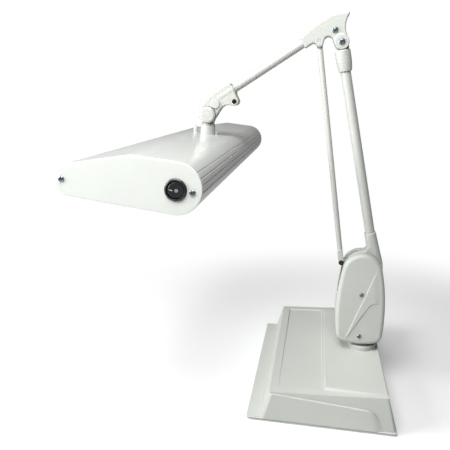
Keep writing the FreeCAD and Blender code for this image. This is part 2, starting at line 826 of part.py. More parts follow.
def make_base_inside():
    """Weight, screws, the socket of the swivel post with its bushing, the collar and the cord inlet."""
    side = top_half - g.cover_wall - g.weight_gap
    weight = slab("Weight", g.weight_thick, lambda s: polygon(s, [
        (-top_user, -side), (top_back, -side), (top_back, side), (-top_user, side)]), "XY_Plane")
    soften(weight, 4, lambda e: abs(e.tangentAt(e.FirstParameter).z) > 0.9)
    place(weight, WORLD, 0, plate_top + g.weight_thick / 2)
    ways = [place(rod("WeightWay", g.socket_radius + g.fit_gap, g.weight_thick + 4, -2), WORLD, 0, plate_top)]
    for x, y in foot_screw_spots():
        ways.append(place(rod("WeightNotch", g.foot_boss_radius + 2, g.weight_thick + 4, -2),
                          WORLD, x, plate_top, y))
    node("base_weight", without("WeightCored", weight, ways))

    screws = []
    for x, y in foot_screw_spots():
        one = screw("FootScrew", g.foot_screw_radius, g.foot_screw_length, g.foot_screw_head,
                    g.plate_thick / 4)
        one.Placement = FreeCAD.Placement(FreeCAD.Vector(0, 0, 0),
                                          FreeCAD.Rotation(FreeCAD.Vector(1, 0, 0), 180))
        bind(one, "Placement.Base.x", x)
        bind(one, "Placement.Base.y", y)
        bind(one, "Placement.Base.z", g.pad_thick + g.plate_thick / 4)
        screws.append(one)
    node("base_screws", group("FootScrews", screws))

    top = post_top - g.cover_wall - 2
    socket = turned("PostSocket", [
        (g.bush_radius, plate_top), (g.socket_radius, plate_top), (g.socket_radius, top - 3),
        (g.collar_radius - 1, top - 3), (g.collar_radius - 1, top), (g.bush_radius, top)])
    node("post_socket", socket)
    bush = turned("Bushing", [
        (g.post_radius + g.run_gap, top - g.post_depth), (g.bush_radius, top - g.post_depth),
        (g.bush_radius, top), (g.collar_radius - 4, top), (g.collar_radius - 4, top + 1.2),
        (g.post_radius + g.run_gap, top + 1.2)])
    node("post_bushing", bush)
    collar = turned("Collar", [
        (g.post_radius + 1, top + 1.2 + g.side_gap), (g.collar_radius, top + 1.2 + g.side_gap),
        (g.collar_radius, g.collar_height - 1.5), (g.collar_radius - 1.5, g.collar_height),
        (g.post_radius + 1, g.collar_height)])
    node("post_collar", collar)

    inlet = turned("Inlet", [
        (g.inlet_bore, -g.cover_wall * 2.4), (g.inlet_radius, -g.cover_wall * 2.4), (g.inlet_radius, 0),
        (g.inlet_flange, 0), (g.inlet_flange - 1, 3), (g.inlet_bore, 3)])
    node("cord_inlet_bushing", place(inlet, WORLD, -g.inlet_user, g.inlet_height, cover_half, "far"))


def house_outline(sketch, inset):
    """The egg shape of the housing covers, drawn inwards by an inset."""
    foot = g.house_foot_radius - inset
    crown = g.house_crown_radius - inset
    belt(sketch, [(g.house_foot_half, house_foot_height, foot), (0, house_crown, crown),
                  (-g.house_foot_half, house_foot_height, foot)],
         [g.house_side_radius - inset, g.house_side_radius - inset, g.house_bottom_radius - inset])


def make_cover(side):
    """One housing cover, near (-1) or far (1): a shell with a soft edge, a slot for the arms and a crease."""
    name = "NearCover" if side < 0 else "FarCover"
    half = g.house_thick / 2
    body = slab(name, g.house_thick, lambda s: house_outline(s, 0))
    soften(body, g.house_round, rims(half))
    inner = slab(name + "Hollow", g.house_thick - g.house_wall * 2,
                 lambda s: house_outline(s, g.house_wall))
    place(body, HOUSE)
    place(inner, HOUSE)
    slot = block(name + "Slot", g.house_thick * 3, g.slot_width, house_crown)
    place(slot, HOUSE, -g.house_thick * 1.5, slot_floor, -g.slot_width / 2)
    other = block(name + "Other", g.house_thick * 3, g.house_thick, house_crown * 2)
    shift = g.side_gap / 2
    place(other, HOUSE, -g.house_thick * 1.5, 0, -shift if side < 0 else shift - g.house_thick)
    tools = [inner, slot, other, place(rod(name + "PostHole", g.post_radius + 1, 30), WORLD, 0, 50)]
    for height in screw_heights:
        tools.append(place(rod(name + "Hole", g.screw_radius + g.fit_gap, g.house_thick),
                           HOUSE, 0, height, 0, "near" if side < 0 else "far"))
    shell = without(name + "Shell", body, tools)
    bend = house_foot_height + (house_crown - house_foot_height) * 0.43
    turn = bend + g.crease_bend_rise
    lines = slab(name + "Crease", g.crease_raise * 2, lambda s: polygon(s, [
        (g.crease_top, house_crown - 2.5), (-g.crease_foot, house_foot_height - 1.6), (g.crease_bend, bend),
        (g.crease_bend + g.crease_bend_run, turn), (g.crease_end, turn + g.crease_end_rise),
        (g.crease_end + 0.4, (turn + house_crown) / 2)]))
    place(lines, HOUSE, 0, 0, half * side)
    node("near_cover" if side < 0 else "far_cover", joined(name + "Creased", [shell, lines]))


def make_housing():
    """Swivel post, frame, covers and their screws, main pivot, spacers, anchor pins and springs."""
    make_cover(-1)
    make_cover(1)
    half = g.frame_half
    top = post_top - g.cover_wall - 2
    post = rod("Post", g.post_radius, frame_low - (top - g.post_depth), top - g.post_depth)
    node("swivel_post", post)

    cheeks = slab("Frame", half * 2, lambda s: belt(s, [
        (g.house_foot_half, house_foot_height, frame_foot),
        (-g.pivot_user + g.house_shift, g.pivot_height, g.frame_top_radius),
        (-g.house_foot_half, house_foot_height, frame_foot)]))
    place(cheeks, HOUSE)
    gap = block("FrameGap", g.house_thick * 3, (half - g.frame_sheet) * 2, g.pivot_height)
    place(gap, HOUSE, -g.house_thick * 1.5, frame_low + g.frame_sheet * 1.5, -half + g.frame_sheet)
    holes = [place(rod("FramePivotHole", g.pivot_radius + g.run_gap, half * 3, -half * 1.5),
                   PIVOT, 0, 0, 0, "near")]
    for x, z, radius in spacer_spots() + anchor_spots():
        holes.append(place(rod("FrameHole", radius, half * 3, -half * 1.5), HOUSE, x, z, 0, "near"))
    node("housing_frame", without("FrameBent", cheeks, [gap] + holes))

    bars = [without("SpacerBored", place(rod("Spacer", radius, half * 2, -half), HOUSE, x, z, 0, "near"),
                    [place(rod("SpacerBore", g.screw_radius, half * 3, -half * 1.5), HOUSE, x, z, 0, "near")])
            for x, z, radius in spacer_spots()]
    node("frame_spacers", group("Spacers", bars))
    pins = [place(rod("Anchor", radius, half * 2, -half), HOUSE, x, z, 0, "near")
            for x, z, radius in anchor_spots()]
    node("spring_anchor_pins", group("Anchors", pins))

    screws = []
    face = g.house_thick / 2
    for side, turn in ((-1, "near"), (1, "far")):
        for height in screw_heights:
            one = screw("CoverScrew", g.screw_radius, 14, g.screw_head_radius, g.screw_head_thick)
            screws.append(place(one, HOUSE, 0, height, face * side, turn))
    node("cover_screws", group("CoverScrews", screws))

    bolt = turned("PivotBolt", [
        (0, -half - 3), (g.pivot_radius, -half - 3), (g.pivot_radius, half), (g.pivot_radius + 2.5, half),
        (g.pivot_radius + 2.5, half + 2.4), (0, half + 2.4)])
    node("pivot_bolt", place(bolt, PIVOT, 0, 0, 0, "near"))
    nut = ring("PivotNut", g.pivot_radius, g.pivot_radius + 2.5, 2.4, half)
    node("pivot_nut", place(nut, PIVOT, 0, 0, 0, "far"))
    gap_side = half - g.frame_sheet - g.hub_half
    washers = [place(ring("PivotWasher", g.pivot_radius + g.run_gap, g.pivot_radius + 5,
                          gap_side - g.side_gap, g.hub_half + g.side_gap), PIVOT, 0, 0, 0, turn)
               for turn in ("near", "far")]
    node("pivot_washers", group("PivotWashers", washers))


def spacer_spots():
    """Across, height and radius of the two cross bars of the frame, which the cover screws go into."""
    return [(sized(0), height, g.spacer_radius) for height in screw_heights]


def anchor_spots():
    """Across, height and radius of the pins that the springs end on, straight under their eyes."""
    return [(eye[0] + g.house_shift, anchor_height, g.anchor_radius) for eye in (arm_eye, lever_eye)]


def make_springs():
    """Two tension springs, as closed coils with a straight hook at each end."""
    for name, eye, seat in (("arm_spring", arm_eye, g.anchor_radius),
                            ("lever_spring", lever_eye, g.lever_ear)):
        low = anchor_height + g.anchor_radius + g.fit_gap
        high = eye[1] - seat - g.fit_gap
        coil, wire = g.spring_radius, g.spring_wire
        first, last = low + g.spring_hook, high - g.spring_hook
        profile = [(0, low), (wire, low), (wire, first), (coil, first + 2), (coil, last - 2), (wire, last),
                   (wire, high), (0, high)]
        node(name, place(turned(name.title().replace("_", ""), profile), WORLD, eye[0]))


def make_lower_arm():
    """Hub casting with two cheeks, the tube, the elbow tongue and its bush."""
    px, pz = pivot_in_tube
    eye = TUBE.seen(*arm_eye)
    corner = 1.0
    wide = g.hub_socket_radius - corner
    hub_top = pz + g.hub_socket_rise
    top = hub_top - corner
    radius = g.hub_radius
    body = slab("Hub", g.hub_half * 2, lambda s: belt(s, [
        (wide, top, corner), (-wide, top, corner),
        (-g.hub_socket_radius - g.hub_fillet, pz + g.hub_neck_rise, -g.hub_fillet),
        (px - g.hub_user, pz, radius),
        (eye[0], eye[1], g.ear_radius), (px + g.hub_back, pz, radius)]))
    soften(body, 1.5, rims(g.hub_half))
    depth = g.tube_seat + 8
    socket = rod("HubSocket", g.hub_socket_radius, depth, hub_top - depth)
    slot = slab("HubSlot", g.hub_slot, lambda s: belt(s, [
        (px, pz, g.hub_slot_radius), (px - 42, pz + 30, 6), (px - 42, pz - 46, 6), (px + 30, pz - 52, 6),
        (eye[0] + 4, eye[1] + 2, 8)]))
    bore = rod("HubBore", g.tube_radius, g.tube_seat + 1, hub_top - g.tube_seat)
    for thing in (body, socket, slot, bore):
        place(thing, TUBE)
    hub = without("HubCored", joined("HubSolid", [body, socket]), [
        slot, bore,
        place(rod("HubPivotHole", g.pivot_radius + g.run_gap, 60, -30), PIVOT, 0, 0, 0, "near")])
    pin = place(rod("HubPin", g.anchor_radius, g.hub_half * 2 - 2, 1 - g.hub_half), WORLD,
                arm_eye[0], arm_eye[1], 0, "near")
    node("arm_hub", joined("HubPinned", [hub, pin]))

    low = hub_top - g.tube_seat
    high = -g.elbow_socket_low + g.tube_seat
    node("lower_tube", place(ring("LowerTube", g.tube_radius - g.tube_wall, g.tube_radius, high - low, low),
                             TUBE))

    base = -g.elbow_socket_low
    reach = g.elbow_socket_low - g.neck_straight
    bulge = []
    for step in (reach, reach * 0.67, reach * 0.33, sized(0)):
        bulge.append((g.neck_radius - step * step / (g.neck_curve * 2), -g.neck_straight - step))
    neck = turned("ElbowNeck", [(0, base)] + bulge + [
        (g.neck_radius, -g.neck_top - g.neck_bevel), (g.neck_radius - g.neck_bevel, -g.neck_top),
        (0, -g.neck_top)])
    place(neck, TUBE)
    tongue = slab("Tongue", g.tongue_half * 2, lambda s: belt(s, [
        (0, 0, g.tongue_radius), (0, -g.neck_top - 8, g.tongue_radius - 1)]))
    place(tongue, PIVOT, 0, g.arm_length)
    seat = place(rod("NeckBore", g.tube_radius, g.tube_seat + 1, base - 1), TUBE)
    fork_sweep = place(ring("ForkSweep", 0.01, g.elbow_hub_radius + g.fit_gap, 40, g.tongue_half),
                       PIVOT, 0, g.arm_length, 0, "near")
    far_sweep = place(ring("FarSweep", 0.01, g.elbow_hub_radius + g.fit_gap, 40, g.tongue_half),
                      PIVOT, 0, g.arm_length, 0, "far")
    bush_hole = place(rod("BushHole", g.elbow_pin_radius + g.elbow_bush_wall, 40, -20),
                      PIVOT, 0, g.arm_length, 0, "near")
    node("lower_arm_head", without("NeckCored", joined("NeckSolid", [neck, tongue]),
                                   [seat, fork_sweep, far_sweep, bush_hole]))
    bush = ring("ElbowBush", g.elbow_pin_radius + g.run_gap, g.elbow_pin_radius + g.elbow_bush_wall,
                g.tongue_half * 2, -g.tongue_half)
    node("elbow_bushing", place(bush, PIVOT, 0, g.arm_length, 0, "near"))


def make_linkage():
    """Balance lever, its rivet, and the tie rod with a flat eye at the top and a clevis at the bottom."""
    eye = LINK.seen(*lever_eye)
    body = slab("Lever", g.lever_half * 2, lambda s: belt(s, [
        (0, 0, g.lever_hub), (-g.link_length, 0, g.lever_ear), (eye[0], eye[1], g.lever_ear)],
        [-g.lever_waist, -g.lever_belly, -g.lever_waist]))
    boss = rod("LeverBoss", g.lever_boss, g.hub_slot - g.side_gap * 2, g.side_gap - g.hub_slot / 2)
    place(body, LINK)
    place(boss, LINK, 0, 0, 0, "near")
    holes = [place(rod("LeverBore", g.pivot_radius + g.run_gap, 40, -20), PIVOT, 0, 0, 0, "near"),
             place(rod("LeverRivetHole", g.rivet_radius, 40, -20), ROD, 0, 0, 0, "near")]
    pin = place(rod("LeverPin", g.rivet_radius, g.lever_half * 3, -g.lever_half * 1.5), WORLD,
                lever_eye[0], lever_eye[1], 0, "near")
    node("balance_lever", joined("LeverPinned", [without("LeverCored", joined("LeverSolid", [body, boss]),
                                                         holes), pin]))
    end = g.clevis_half + g.side_gap
    rivet = turned("Rivet", [
        (0, -end - 1.2), (g.rivet_head, -end - 0.6), (g.rivet_head, -end), (g.rivet_radius, -end),
        (g.rivet_radius, end), (g.rivet_head, end), (g.rivet_head, end + 0.6), (0, end + 1.2)])
    node("lever_rivet", place(rivet, ROD, 0, 0, 0, "near"))

    length = g.arm_length
    shaft = place(rod("RodShaft", g.rod_radius, length - 14 - g.clevis_length, g.clevis_length), ROD)
    blade = slab("RodEye", g.rod_eye_half * 2, lambda s: belt(s, [
        (0, length, g.rod_eye), (0, length - 18, g.rod_radius)]))
    place(blade, ROD)
    taper = turned("RodTaper", [(0, length - 16), (g.rod_radius, length - 16), (g.rod_radius - 1, length - 9),
                                (0, length - 9)])
    place(taper, ROD)
    clevis = slab("Clevis", g.clevis_half * 2, lambda s: belt(s, [
        (0, g.clevis_length, g.rod_radius), (0, 0, g.clevis_radius)]))
    place(clevis, ROD)
    jaw = block("ClevisJaw", 40, g.lever_half * 2 + g.side_gap * 2, 20 + g.jaw_depth)
    place(jaw, ROD, -20, -20, -g.lever_half - g.side_gap)
    rivet_way = place(rod("ClevisBore", g.rivet_radius + g.run_gap, 40, -20), ROD, 0, 0, 0, "near")
    pin_way = place(rod("EyeBore", g.pin_radius + g.fit_gap, 40, -20), ROD, 0, length, 0, "near")
    node("tie_rod", without("RodCored", joined("RodSolid", [shaft, blade, taper, clevis]),
                            [jaw, rivet_way, pin_way]))


def make_elbow():
    """The sculpted elbow casting: hinge fork, swept tail, slotted lug for the tie rod and tube socket."""
    hub = g.elbow_hub_radius
    lug_across, lug_along = UPPER.seen(*rod_high)
    corner = 0.8
    half = g.elbow_socket_radius - corner
    end = g.elbow_socket_end - corner
    axis = g.upper_tube_across
    body = slab("Elbow", g.elbow_half * 2, lambda s: belt(s, [
        (0, 0, hub), (g.elbow_tail_across, -g.elbow_tail_along, g.elbow_tail_radius),
        (g.elbow_shoulder_across, -g.elbow_shoulder_along, g.elbow_shoulder_radius),
        (axis + half, end, corner), (axis - half, end, corner),
        (axis - g.elbow_socket_radius - g.elbow_heel_radius, lug_along + g.elbow_heel_rise,
         -g.elbow_heel_radius),
        (lug_across - g.elbow_lug_drop, lug_along + g.elbow_lug_shift, g.elbow_lug_radius),
        (g.elbow_throat_across, g.elbow_throat_along, -g.elbow_throat_radius)],
        [-g.elbow_back_radius, None, g.elbow_crest_radius, None, None, None, None, None]))
    soften(body, g.elbow_round, rims(g.elbow_half))
    socket = rod("ElbowSocket", g.elbow_socket_radius, g.elbow_socket_end - 22, 22)
    place(body, UPPER)
    place(socket, UPPER, axis)
    discs = place(rod("ElbowDiscs", hub, g.elbow_hub_half * 2, -g.elbow_hub_half), UPPER, 0, 0, 0, "near")
    gap = g.tongue_half + g.side_gap
    fork = slab("ElbowFork", gap * 2, lambda s: belt(s, [
        (-1, 0, g.tongue_radius + 1.6), (-30, 12, 13), (-18, 26, 9)]))
    place(fork, UPPER)
    slot_half = g.rod_eye_half + g.side_gap
    lug = slab("LugSlot", slot_half * 2, lambda s: belt(s, [
        (lug_across, lug_along, g.lug_slot_radius), (lug_across - 24, lug_along + 22, 7),
        (lug_across - 24, lug_along - 20, 7)]))
    place(lug, UPPER)
    bore = place(rod("ElbowBore", g.upper_tube_radius, g.elbow_seat + 1,
                     g.elbow_socket_end - g.elbow_seat), UPPER, axis)
    ways = [place(rod("ElbowPinHole", g.elbow_pin_radius, 60, -30), UPPER, 0, 0, 0, "near"),
            place(rod("LockHole", g.screw_radius, 60, -30), UPPER, g.lock_screw_across, 0, 0, "near"),
            place(rod("LugPinHole", g.pin_radius, 60, -30), UPPER, lug_across, lug_along, 0, "near")]
    node("elbow_casting", without("ElbowCored", joined("ElbowSolid", [body, socket, discs]),
                                  [fork, lug, bore] + ways))

    side = g.elbow_hub_half
    pivot = turned("ElbowPin", [
        (0, -side), (g.elbow_pin_radius, -side), (g.elbow_pin_radius, side), (4.4, side), (4.4, side + 1.4),
        (3.0, side + 2.6), (0, side + 2.8)])
    place(pivot, UPPER, 0, 0, 0, "near")
    face = g.elbow_half
    lock = turned("LockScrew", [
        (0, -face), (g.screw_radius, -face), (g.screw_radius, face), (4.2, face), (4.2, face + 1.2),
        (2.8, face + 2.4), (0, face + 2.6)])
    place(lock, UPPER, g.lock_screw_across, 0, 0, "near")
    node("elbow_screws", group("ElbowScrews", [pivot, lock]))
    nuts = [place(ring("ElbowNut", 0.01, 4.6, 2.6, side), UPPER, 0, 0, 0, "far"),
            place(ring("LockNut", 0.01, 3.8, 2.4, face), UPPER, g.lock_screw_across, 0, 0, "far")]
    node("elbow_nuts", group("ElbowNuts", nuts))
    pin = rod("TiePin", g.pin_radius, face * 2, -face)
    node("tie_rod_pin", place(pin, UPPER, lug_across, lug_along, 0, "near"))
    start = g.elbow_socket_end - g.elbow_seat
    length = g.head_socket_start + g.upper_tube_depth - start
    node("upper_tube", place(ring("UpperTube", g.upper_tube_radius - g.tube_wall, g.upper_tube_radius,
                                  length, start), UPPER, axis))


def make_head_socket():
    """The casting at the end of the upper arm: split clamp with an ear, and the fork of the tilt joint."""
    axis = g.upper_tube_across
    corner = 1.0
    start = g.head_socket_start + corner
    cheek = g.tilt_cheek_radius
    body = slab("Socket", g.tilt_half * 2, lambda s: belt(s, [
        (axis + g.head_socket_radius - corner, start, corner), (g.nose_across, g.nose_along, g.nose_radius),
        (g.tilt_across, g.tilt_along, cheek), (g.throat_across, g.throat_along, -g.throat_radius),
        (g.clamp_across, g.clamp_along, g.clamp_radius)], [g.brow_radius, None, None, None, None]))
    soften(body, 1.5, rims(g.tilt_half))
    barrel = rod("SocketBarrel", g.head_socket_radius, 27, g.head_socket_start)
    place(body, UPPER)
    place(barrel, UPPER, axis)
    bore = place(rod("SocketBore", g.upper_tube_radius, g.upper_tube_depth + 1, g.head_socket_start - 1),
                 UPPER, axis)
    inner = g.tilt_tongue_half + g.tilt_washer_thick
    foot, rise = g.stem_radius - g.eye_margin, g.collar_drop - g.stem_thick
    reach = root(foot * foot + rise * rise) + g.eye_corner + g.fit_gap
    slot = place(rod("TiltSlot", reach, inner * 2, -inner), JOINT, 0, 0, 0, "near")
    floor = block("TiltFloor", 36, inner * 2, 20)
    place(floor, Frame(tilt_x, tilt_z, 0), -18, -21, -inner)
    slit = block("ClampSlit", 30, g.clamp_slit, 40)
    place(slit, UPPER, g.clamp_across - 12, g.head_socket_start - 5, -g.clamp_slit / 2)
    ways = [place(rod("TiltPinHole", g.tilt_pin_radius, 60, -30), JOINT, 0, 0, 0, "near"),
            place(rod("PinchHole", g.screw_radius, 60, -30), UPPER, g.clamp_across, g.clamp_along, 0, "near")]
    node("head_socket", without("SocketCored", joined("SocketSolid", [body, barrel]),
                                [bore, slot, floor, slit] + ways))
    face = g.tilt_half
    pinch = turned("Pinch", [
        (0, -face + 1), (g.screw_radius, -face + 1), (g.screw_radius, face), (3.4, face), (3.4, face + 0.8),
        (2.4, face + 1.6), (0, face + 1.8)])
    node("pinch_screw", place(pinch, UPPER, g.clamp_across, g.clamp_along, 0, "near"))
    boss = turned("Boss", [
        (0, face), (g.clamp_boss_radius, face), (g.clamp_boss_radius, face + g.clamp_boss_thick - 0.8),
        (g.clamp_boss_radius - 0.8, face + g.clamp_boss_thick), (0, face + g.clamp_boss_thick)])
    node("clamp_boss", place(boss, UPPER, g.clamp_boss_across, g.clamp_boss_along, 0, "near"))

    bolt = turned("TiltBolt", [
        (0, -face - 3), (5.4, -face - 3), (5.4, -face), (g.tilt_pin_radius, -face),
        (g.tilt_pin_radius, face + 3), (0, face + 3)])
    node("tilt_bolt", place(bolt, JOINT, 0, 0, 0, "near"))
    cap = turned("TiltCap", [
        (g.tilt_pin_radius, face), (g.cap_radius - 0.6, face), (g.cap_radius, face + 1),
        (g.cap_radius, face + g.cap_thick - g.cap_round),
        (g.cap_radius - g.cap_round, face + g.cap_thick), (0, face + g.cap_thick),
        (0, face + 3), (g.tilt_pin_radius, face + 3)])
    node("tilt_cap", place(cap, JOINT, 0, 0, 0, "near"))
    washers = [place(ring("TiltWasher", g.tilt_pin_radius + g.run_gap, 7, g.tilt_washer_thick - g.side_gap,
                          g.tilt_tongue_half), JOINT, 0, 0, 0, turn) for turn in ("near", "far")]
    node("tilt_washers", group("TiltWashers", washers))


def make_bracket():
    """The eye of the tilt joint and the stem that turns in the collar of the head."""
    drop = g.collar_drop
    eye = slab("BracketEye", g.tilt_tongue_half * 2, lambda s: belt(s, [
        (0, 0, g.tilt_cheek_radius), (-g.stem_radius + g.eye_margin, -drop + g.stem_thick, g.eye_corner),
        (g.stem_radius - g.eye_margin, -drop + g.stem_thick, g.eye_corner)]))
    place(eye, JOINT)
    bottom = roof(-g.swivel_across) - g.joint_rise - g.nut_drop - g.nut_thick - g.spigot_proud
    stem = turned("BracketStem", [
        (0, bottom), (g.spigot_radius, bottom), (g.spigot_radius, -drop), (g.stem_radius, -drop),
        (g.stem_radius, -drop + g.stem_thick - 0.6), (g.stem_radius - 0.6, -drop + g.stem_thick),
        (0, -drop + g.stem_thick)])
    place(stem, JOINT)
    bore = place(rod("BracketBore", g.tilt_pin_radius + g.run_gap, 40, -20), JOINT, 0, 0, 0, "near")
    node("tilt_bracket", without("BracketBored", joined("BracketSolid", [eye, stem]), [bore]))


def roof(across):
    """Height of the shade's top above the centre of the rear lobe: flat from the lobe to the crown."""
    across = sized(across)
    rise = g.crown_radius - g.rear_lobe_radius
    flat = root(g.crown_across * g.crown_across + g.crown_drop * g.crown_drop - rise * rise)
    fall = arctangent(rise / flat) - arctangent(g.crown_drop / g.crown_across)
    if across.number > (g.crown_radius * sine(fall) - g.crown_across).number:
        return (g.rear_lobe_radius - across * sine(fall)) / cosine(fall)
    step = across + g.crown_across
    return root(g.crown_radius * g.crown_radius - step * step) - g.crown_drop


def head_outline(sketch, inset=0):
    """The aerofoil section of the head: a belt round the rear lobe, the crown and the nose lobe."""
    inset = sized(inset)
    belt(sketch, [(0, 0, g.rear_lobe_radius - inset),
                  (-g.crown_across, -g.crown_drop, g.crown_radius - inset),
                  (-g.nose_lobe_across, -g.nose_lobe_drop, g.nose_lobe_radius - inset)])


def make_shade():
    """The extruded shade: four grooves along its rear lobe and a long mouth underneath."""
    length = g.head_near + g.head_far - g.end_thick * 2
    middle = (g.head_far - g.head_near) / 2
    body = slab("Shade", length, head_outline)
    carve(body, length * 1.1, lambda s: head_outline(s, g.shade_wall))
    carve(body, length * 1.1, lambda s: polygon(s, [
        (-g.mouth_front, -g.rear_lobe_radius * 1.5), (-g.mouth_back, -g.rear_lobe_radius * 1.5),
        (-g.mouth_back, -g.rear_lobe_radius * 0.4), (-g.mouth_front, -g.rear_lobe_radius * 0.4)]))
    for count in range(4):
        turn = g.groove_first - g.groove_pitch * count
        out = g.rear_lobe_radius
        deep = out - g.groove_deep
        cos, sin = cosine(turn), sine(turn)
        carve(body, length * 1.1, lambda s: polygon(s, [
            (deep * cos, deep * sin),
            ((out + 1) * cos + g.groove_half * 2 * sin, (out + 1) * sin - g.groove_half * 2 * cos),
            ((out + 1) * cos - g.groove_half * 2 * sin, (out + 1) * sin + g.groove_half * 2 * cos)]))
    place(body, HEAD, 0, 0, middle)
    top = roof(-g.swivel_across)
    hole = place(rod("ShadeHole", g.head_collar_radius + g.fit_gap, 20, top - 10), HEAD, -g.swivel_across)
    studs = [place(rod("StudHole", g.small_stud_radius, 20, top - 12), HEAD, -g.swivel_across + shift)
             for shift in (-g.stud_gap, g.small_stud_gap)]
    head_node("shade", without("ShadeDrilled", body, [hole] + studs))


def make_ends():
    """End plates and their screws."""
    spots = [(-g.end_screw_front, -g.end_screw_drop), (g.end_screw_back, -g.end_screw_drop)]
    screws = []
    for label, side, reach, turn in (("near_end_plate", -1, g.head_near, "near"),
                                     ("far_end_plate", 1, g.head_far, "far")):
        plate = slab(label.title().replace("_", ""), g.end_thick, head_outline)
        soften(plate, 0.6, rims(g.end_thick / 2))
        place(plate, HEAD, 0, 0, (reach - g.end_thick / 2) * side)
        tools = [place(rod("EndHole", 1.6, 40, -20), HEAD, x, z, reach * side, "near") for x, z in spots]
        if side < 0:
            tools.append(place(rod("SwitchHole", g.switch_barrel_radius, 40, -20),
                               HEAD, 0, -g.switch_drop, -reach, "near"))
        head_node(label, without(label.title().replace("_", "") + "Drilled", plate, tools))
        for x, z in spots:
            one = screw("EndScrew", 1.6, 10, g.end_screw_radius, g.screw_head_thick * 0.8)
            screws.append(place(one, HEAD, x, z, reach * side, turn))
    head_node("end_plate_screws", group("EndScrews", screws))


def make_head_fittings():
    """Collar, nut and studs on the shade, and the reflector, lamps, holders and ballast inside."""
    low = roof(-g.swivel_across) - g.nut_drop
    seat = g.joint_rise - g.collar_drop - g.side_gap
    collar = ring("HeadCollar", g.spigot_radius + g.run_gap, g.head_collar_radius, seat - low, low)
    head_node("head_collar", place(collar, HEAD, -g.swivel_across))
    nut = ring("SwivelNut", g.spigot_radius + g.run_gap, g.nut_radius, g.nut_thick, low - g.nut_thick)
    head_node("swivel_nut", place(nut, HEAD, -g.swivel_across))
    studs = []
    for across, radius, height, edge in (
            (-g.swivel_across - g.stud_gap, g.stud_radius, g.stud_height, 1.5),
            (-g.swivel_across + g.small_stud_gap, g.small_stud_radius, g.small_stud_height, 1.0)):
        top = max(roof(across - radius), roof(across + radius), key=lambda size: size.number) + g.run_gap
        profile = [(0, top - g.stud_tail), (g.small_stud_radius, top - g.stud_tail),
                   (g.small_stud_radius, top), (radius, top), (radius, top + height - edge),
                   (radius - edge, top + height), (0, top + height)]
        if radius.number == g.small_stud_radius.number:
            del profile[2]
        studs.append(place(turned("Stud", profile), HEAD, across))
    head_node("stop_studs", group("StopStuds", studs))

    middle = (g.head_far - g.head_near) / 2
    length = g.head_near + g.head_far - g.reflector_near * 2
    low_front = -g.nose_lobe_drop - g.nose_lobe_radius + g.shade_wall + 1.6
    low_back = -g.rear_lobe_radius + g.shade_wall + 3.0
    sheet_thick = g.reflector_sheet
    outer = [(-g.mouth_front - 1.5, low_front), (-g.mouth_front - 8, -2), (-g.mouth_front - 1, 9),
             (-g.lamp_front - 6, g.reflector_high), (-g.mouth_back - 6, g.reflector_high),
             (-g.mouth_back, g.reflector_high - 9), (-g.mouth_back, low_back)]
    inner = [(-g.mouth_front - 1.5 + sheet_thick, low_front), (-g.mouth_front - 8 + sheet_thick * 1.3, -2),
             (-g.mouth_front - 1 + sheet_thick * 0.8, 9 - sheet_thick * 0.8),
             (-g.lamp_front - 6 + sheet_thick * 0.3, g.reflector_high - sheet_thick),
             (-g.mouth_back - 6 - sheet_thick * 0.4, g.reflector_high - sheet_thick),
             (-g.mouth_back - sheet_thick, g.reflector_high - 9 - sheet_thick * 0.4),
             (-g.mouth_back - sheet_thick, low_back)]
    bent = slab("Reflector", length, lambda s: polygon(s, outer[::-1] + inner))
    head_node("reflector", place(bent, HEAD, 0, 0, middle))

    tubes, caps, holders = [], [], []
    half = g.lamp_length / 2
    for name, across, height in (("Back", -g.lamp_back, -g.lamp_height), ("Front", -g.lamp_front,
                                                                          -g.lamp_height)):
        glass = ring(name + "Glass", g.lamp_radius - g.glass_wall, g.lamp_radius - 0.3,
                     (half - g.cap_length) * 2, g.cap_length - half)
        tubes.append(place(glass, HEAD, across, height, middle, "far"))
        for side, turn in ((-1, "near"), (1, "far")):
            metal = rod(name + "Cap", g.lamp_radius, g.cap_length, half - g.cap_length)
            pins = [place(rod(name + "Pin", g.lamp_pin_radius, g.lamp_pin_length, half), HEAD,
                          across + g.lamp_pin_spread * step, height, middle, turn) for step in (-1, 1)]
            place(metal, HEAD, across, height, middle, turn)
            caps.append(joined(name + "CapPinned", [metal] + pins))
            body = slab(name + "Holder", g.holder_thick, lambda s: belt(s, [
                (0, 0, g.lamp_radius - 1), (4, g.reflector_high + g.lamp_height - sheet_thick - 1.1, 1),
                (-4, g.reflector_high + g.lamp_height - sheet_thick - 1.1, 1)]))
            place(body, HEAD, across, height, middle + (half + g.holder_thick / 2 + g.side_gap) * side)
            ways = [place(rod(name + "Way", g.lamp_pin_radius, 20, half - 2), HEAD,
                          across + g.lamp_pin_spread * step, height, middle, turn) for step in (-1, 1)]
            holders.append(without(name + "HolderBored", body, ways))
    head_node("lamp_tubes", group("LampTubes", tubes))
    head_node("tube_caps", group("TubeCaps", caps))
    head_node("lamp_holders", group("LampHolders", holders))

    ballast = slab("Ballast", g.ballast_length, lambda s: polygon(s, [
        (-g.ballast_width / 2, -g.ballast_height), (g.ballast_width / 2, -g.ballast_height),
        (g.ballast_width / 2, 0), (-g.ballast_width / 2, 0)]))
    head_node("ballast", place(ballast, HEAD, 0, 0, middle))


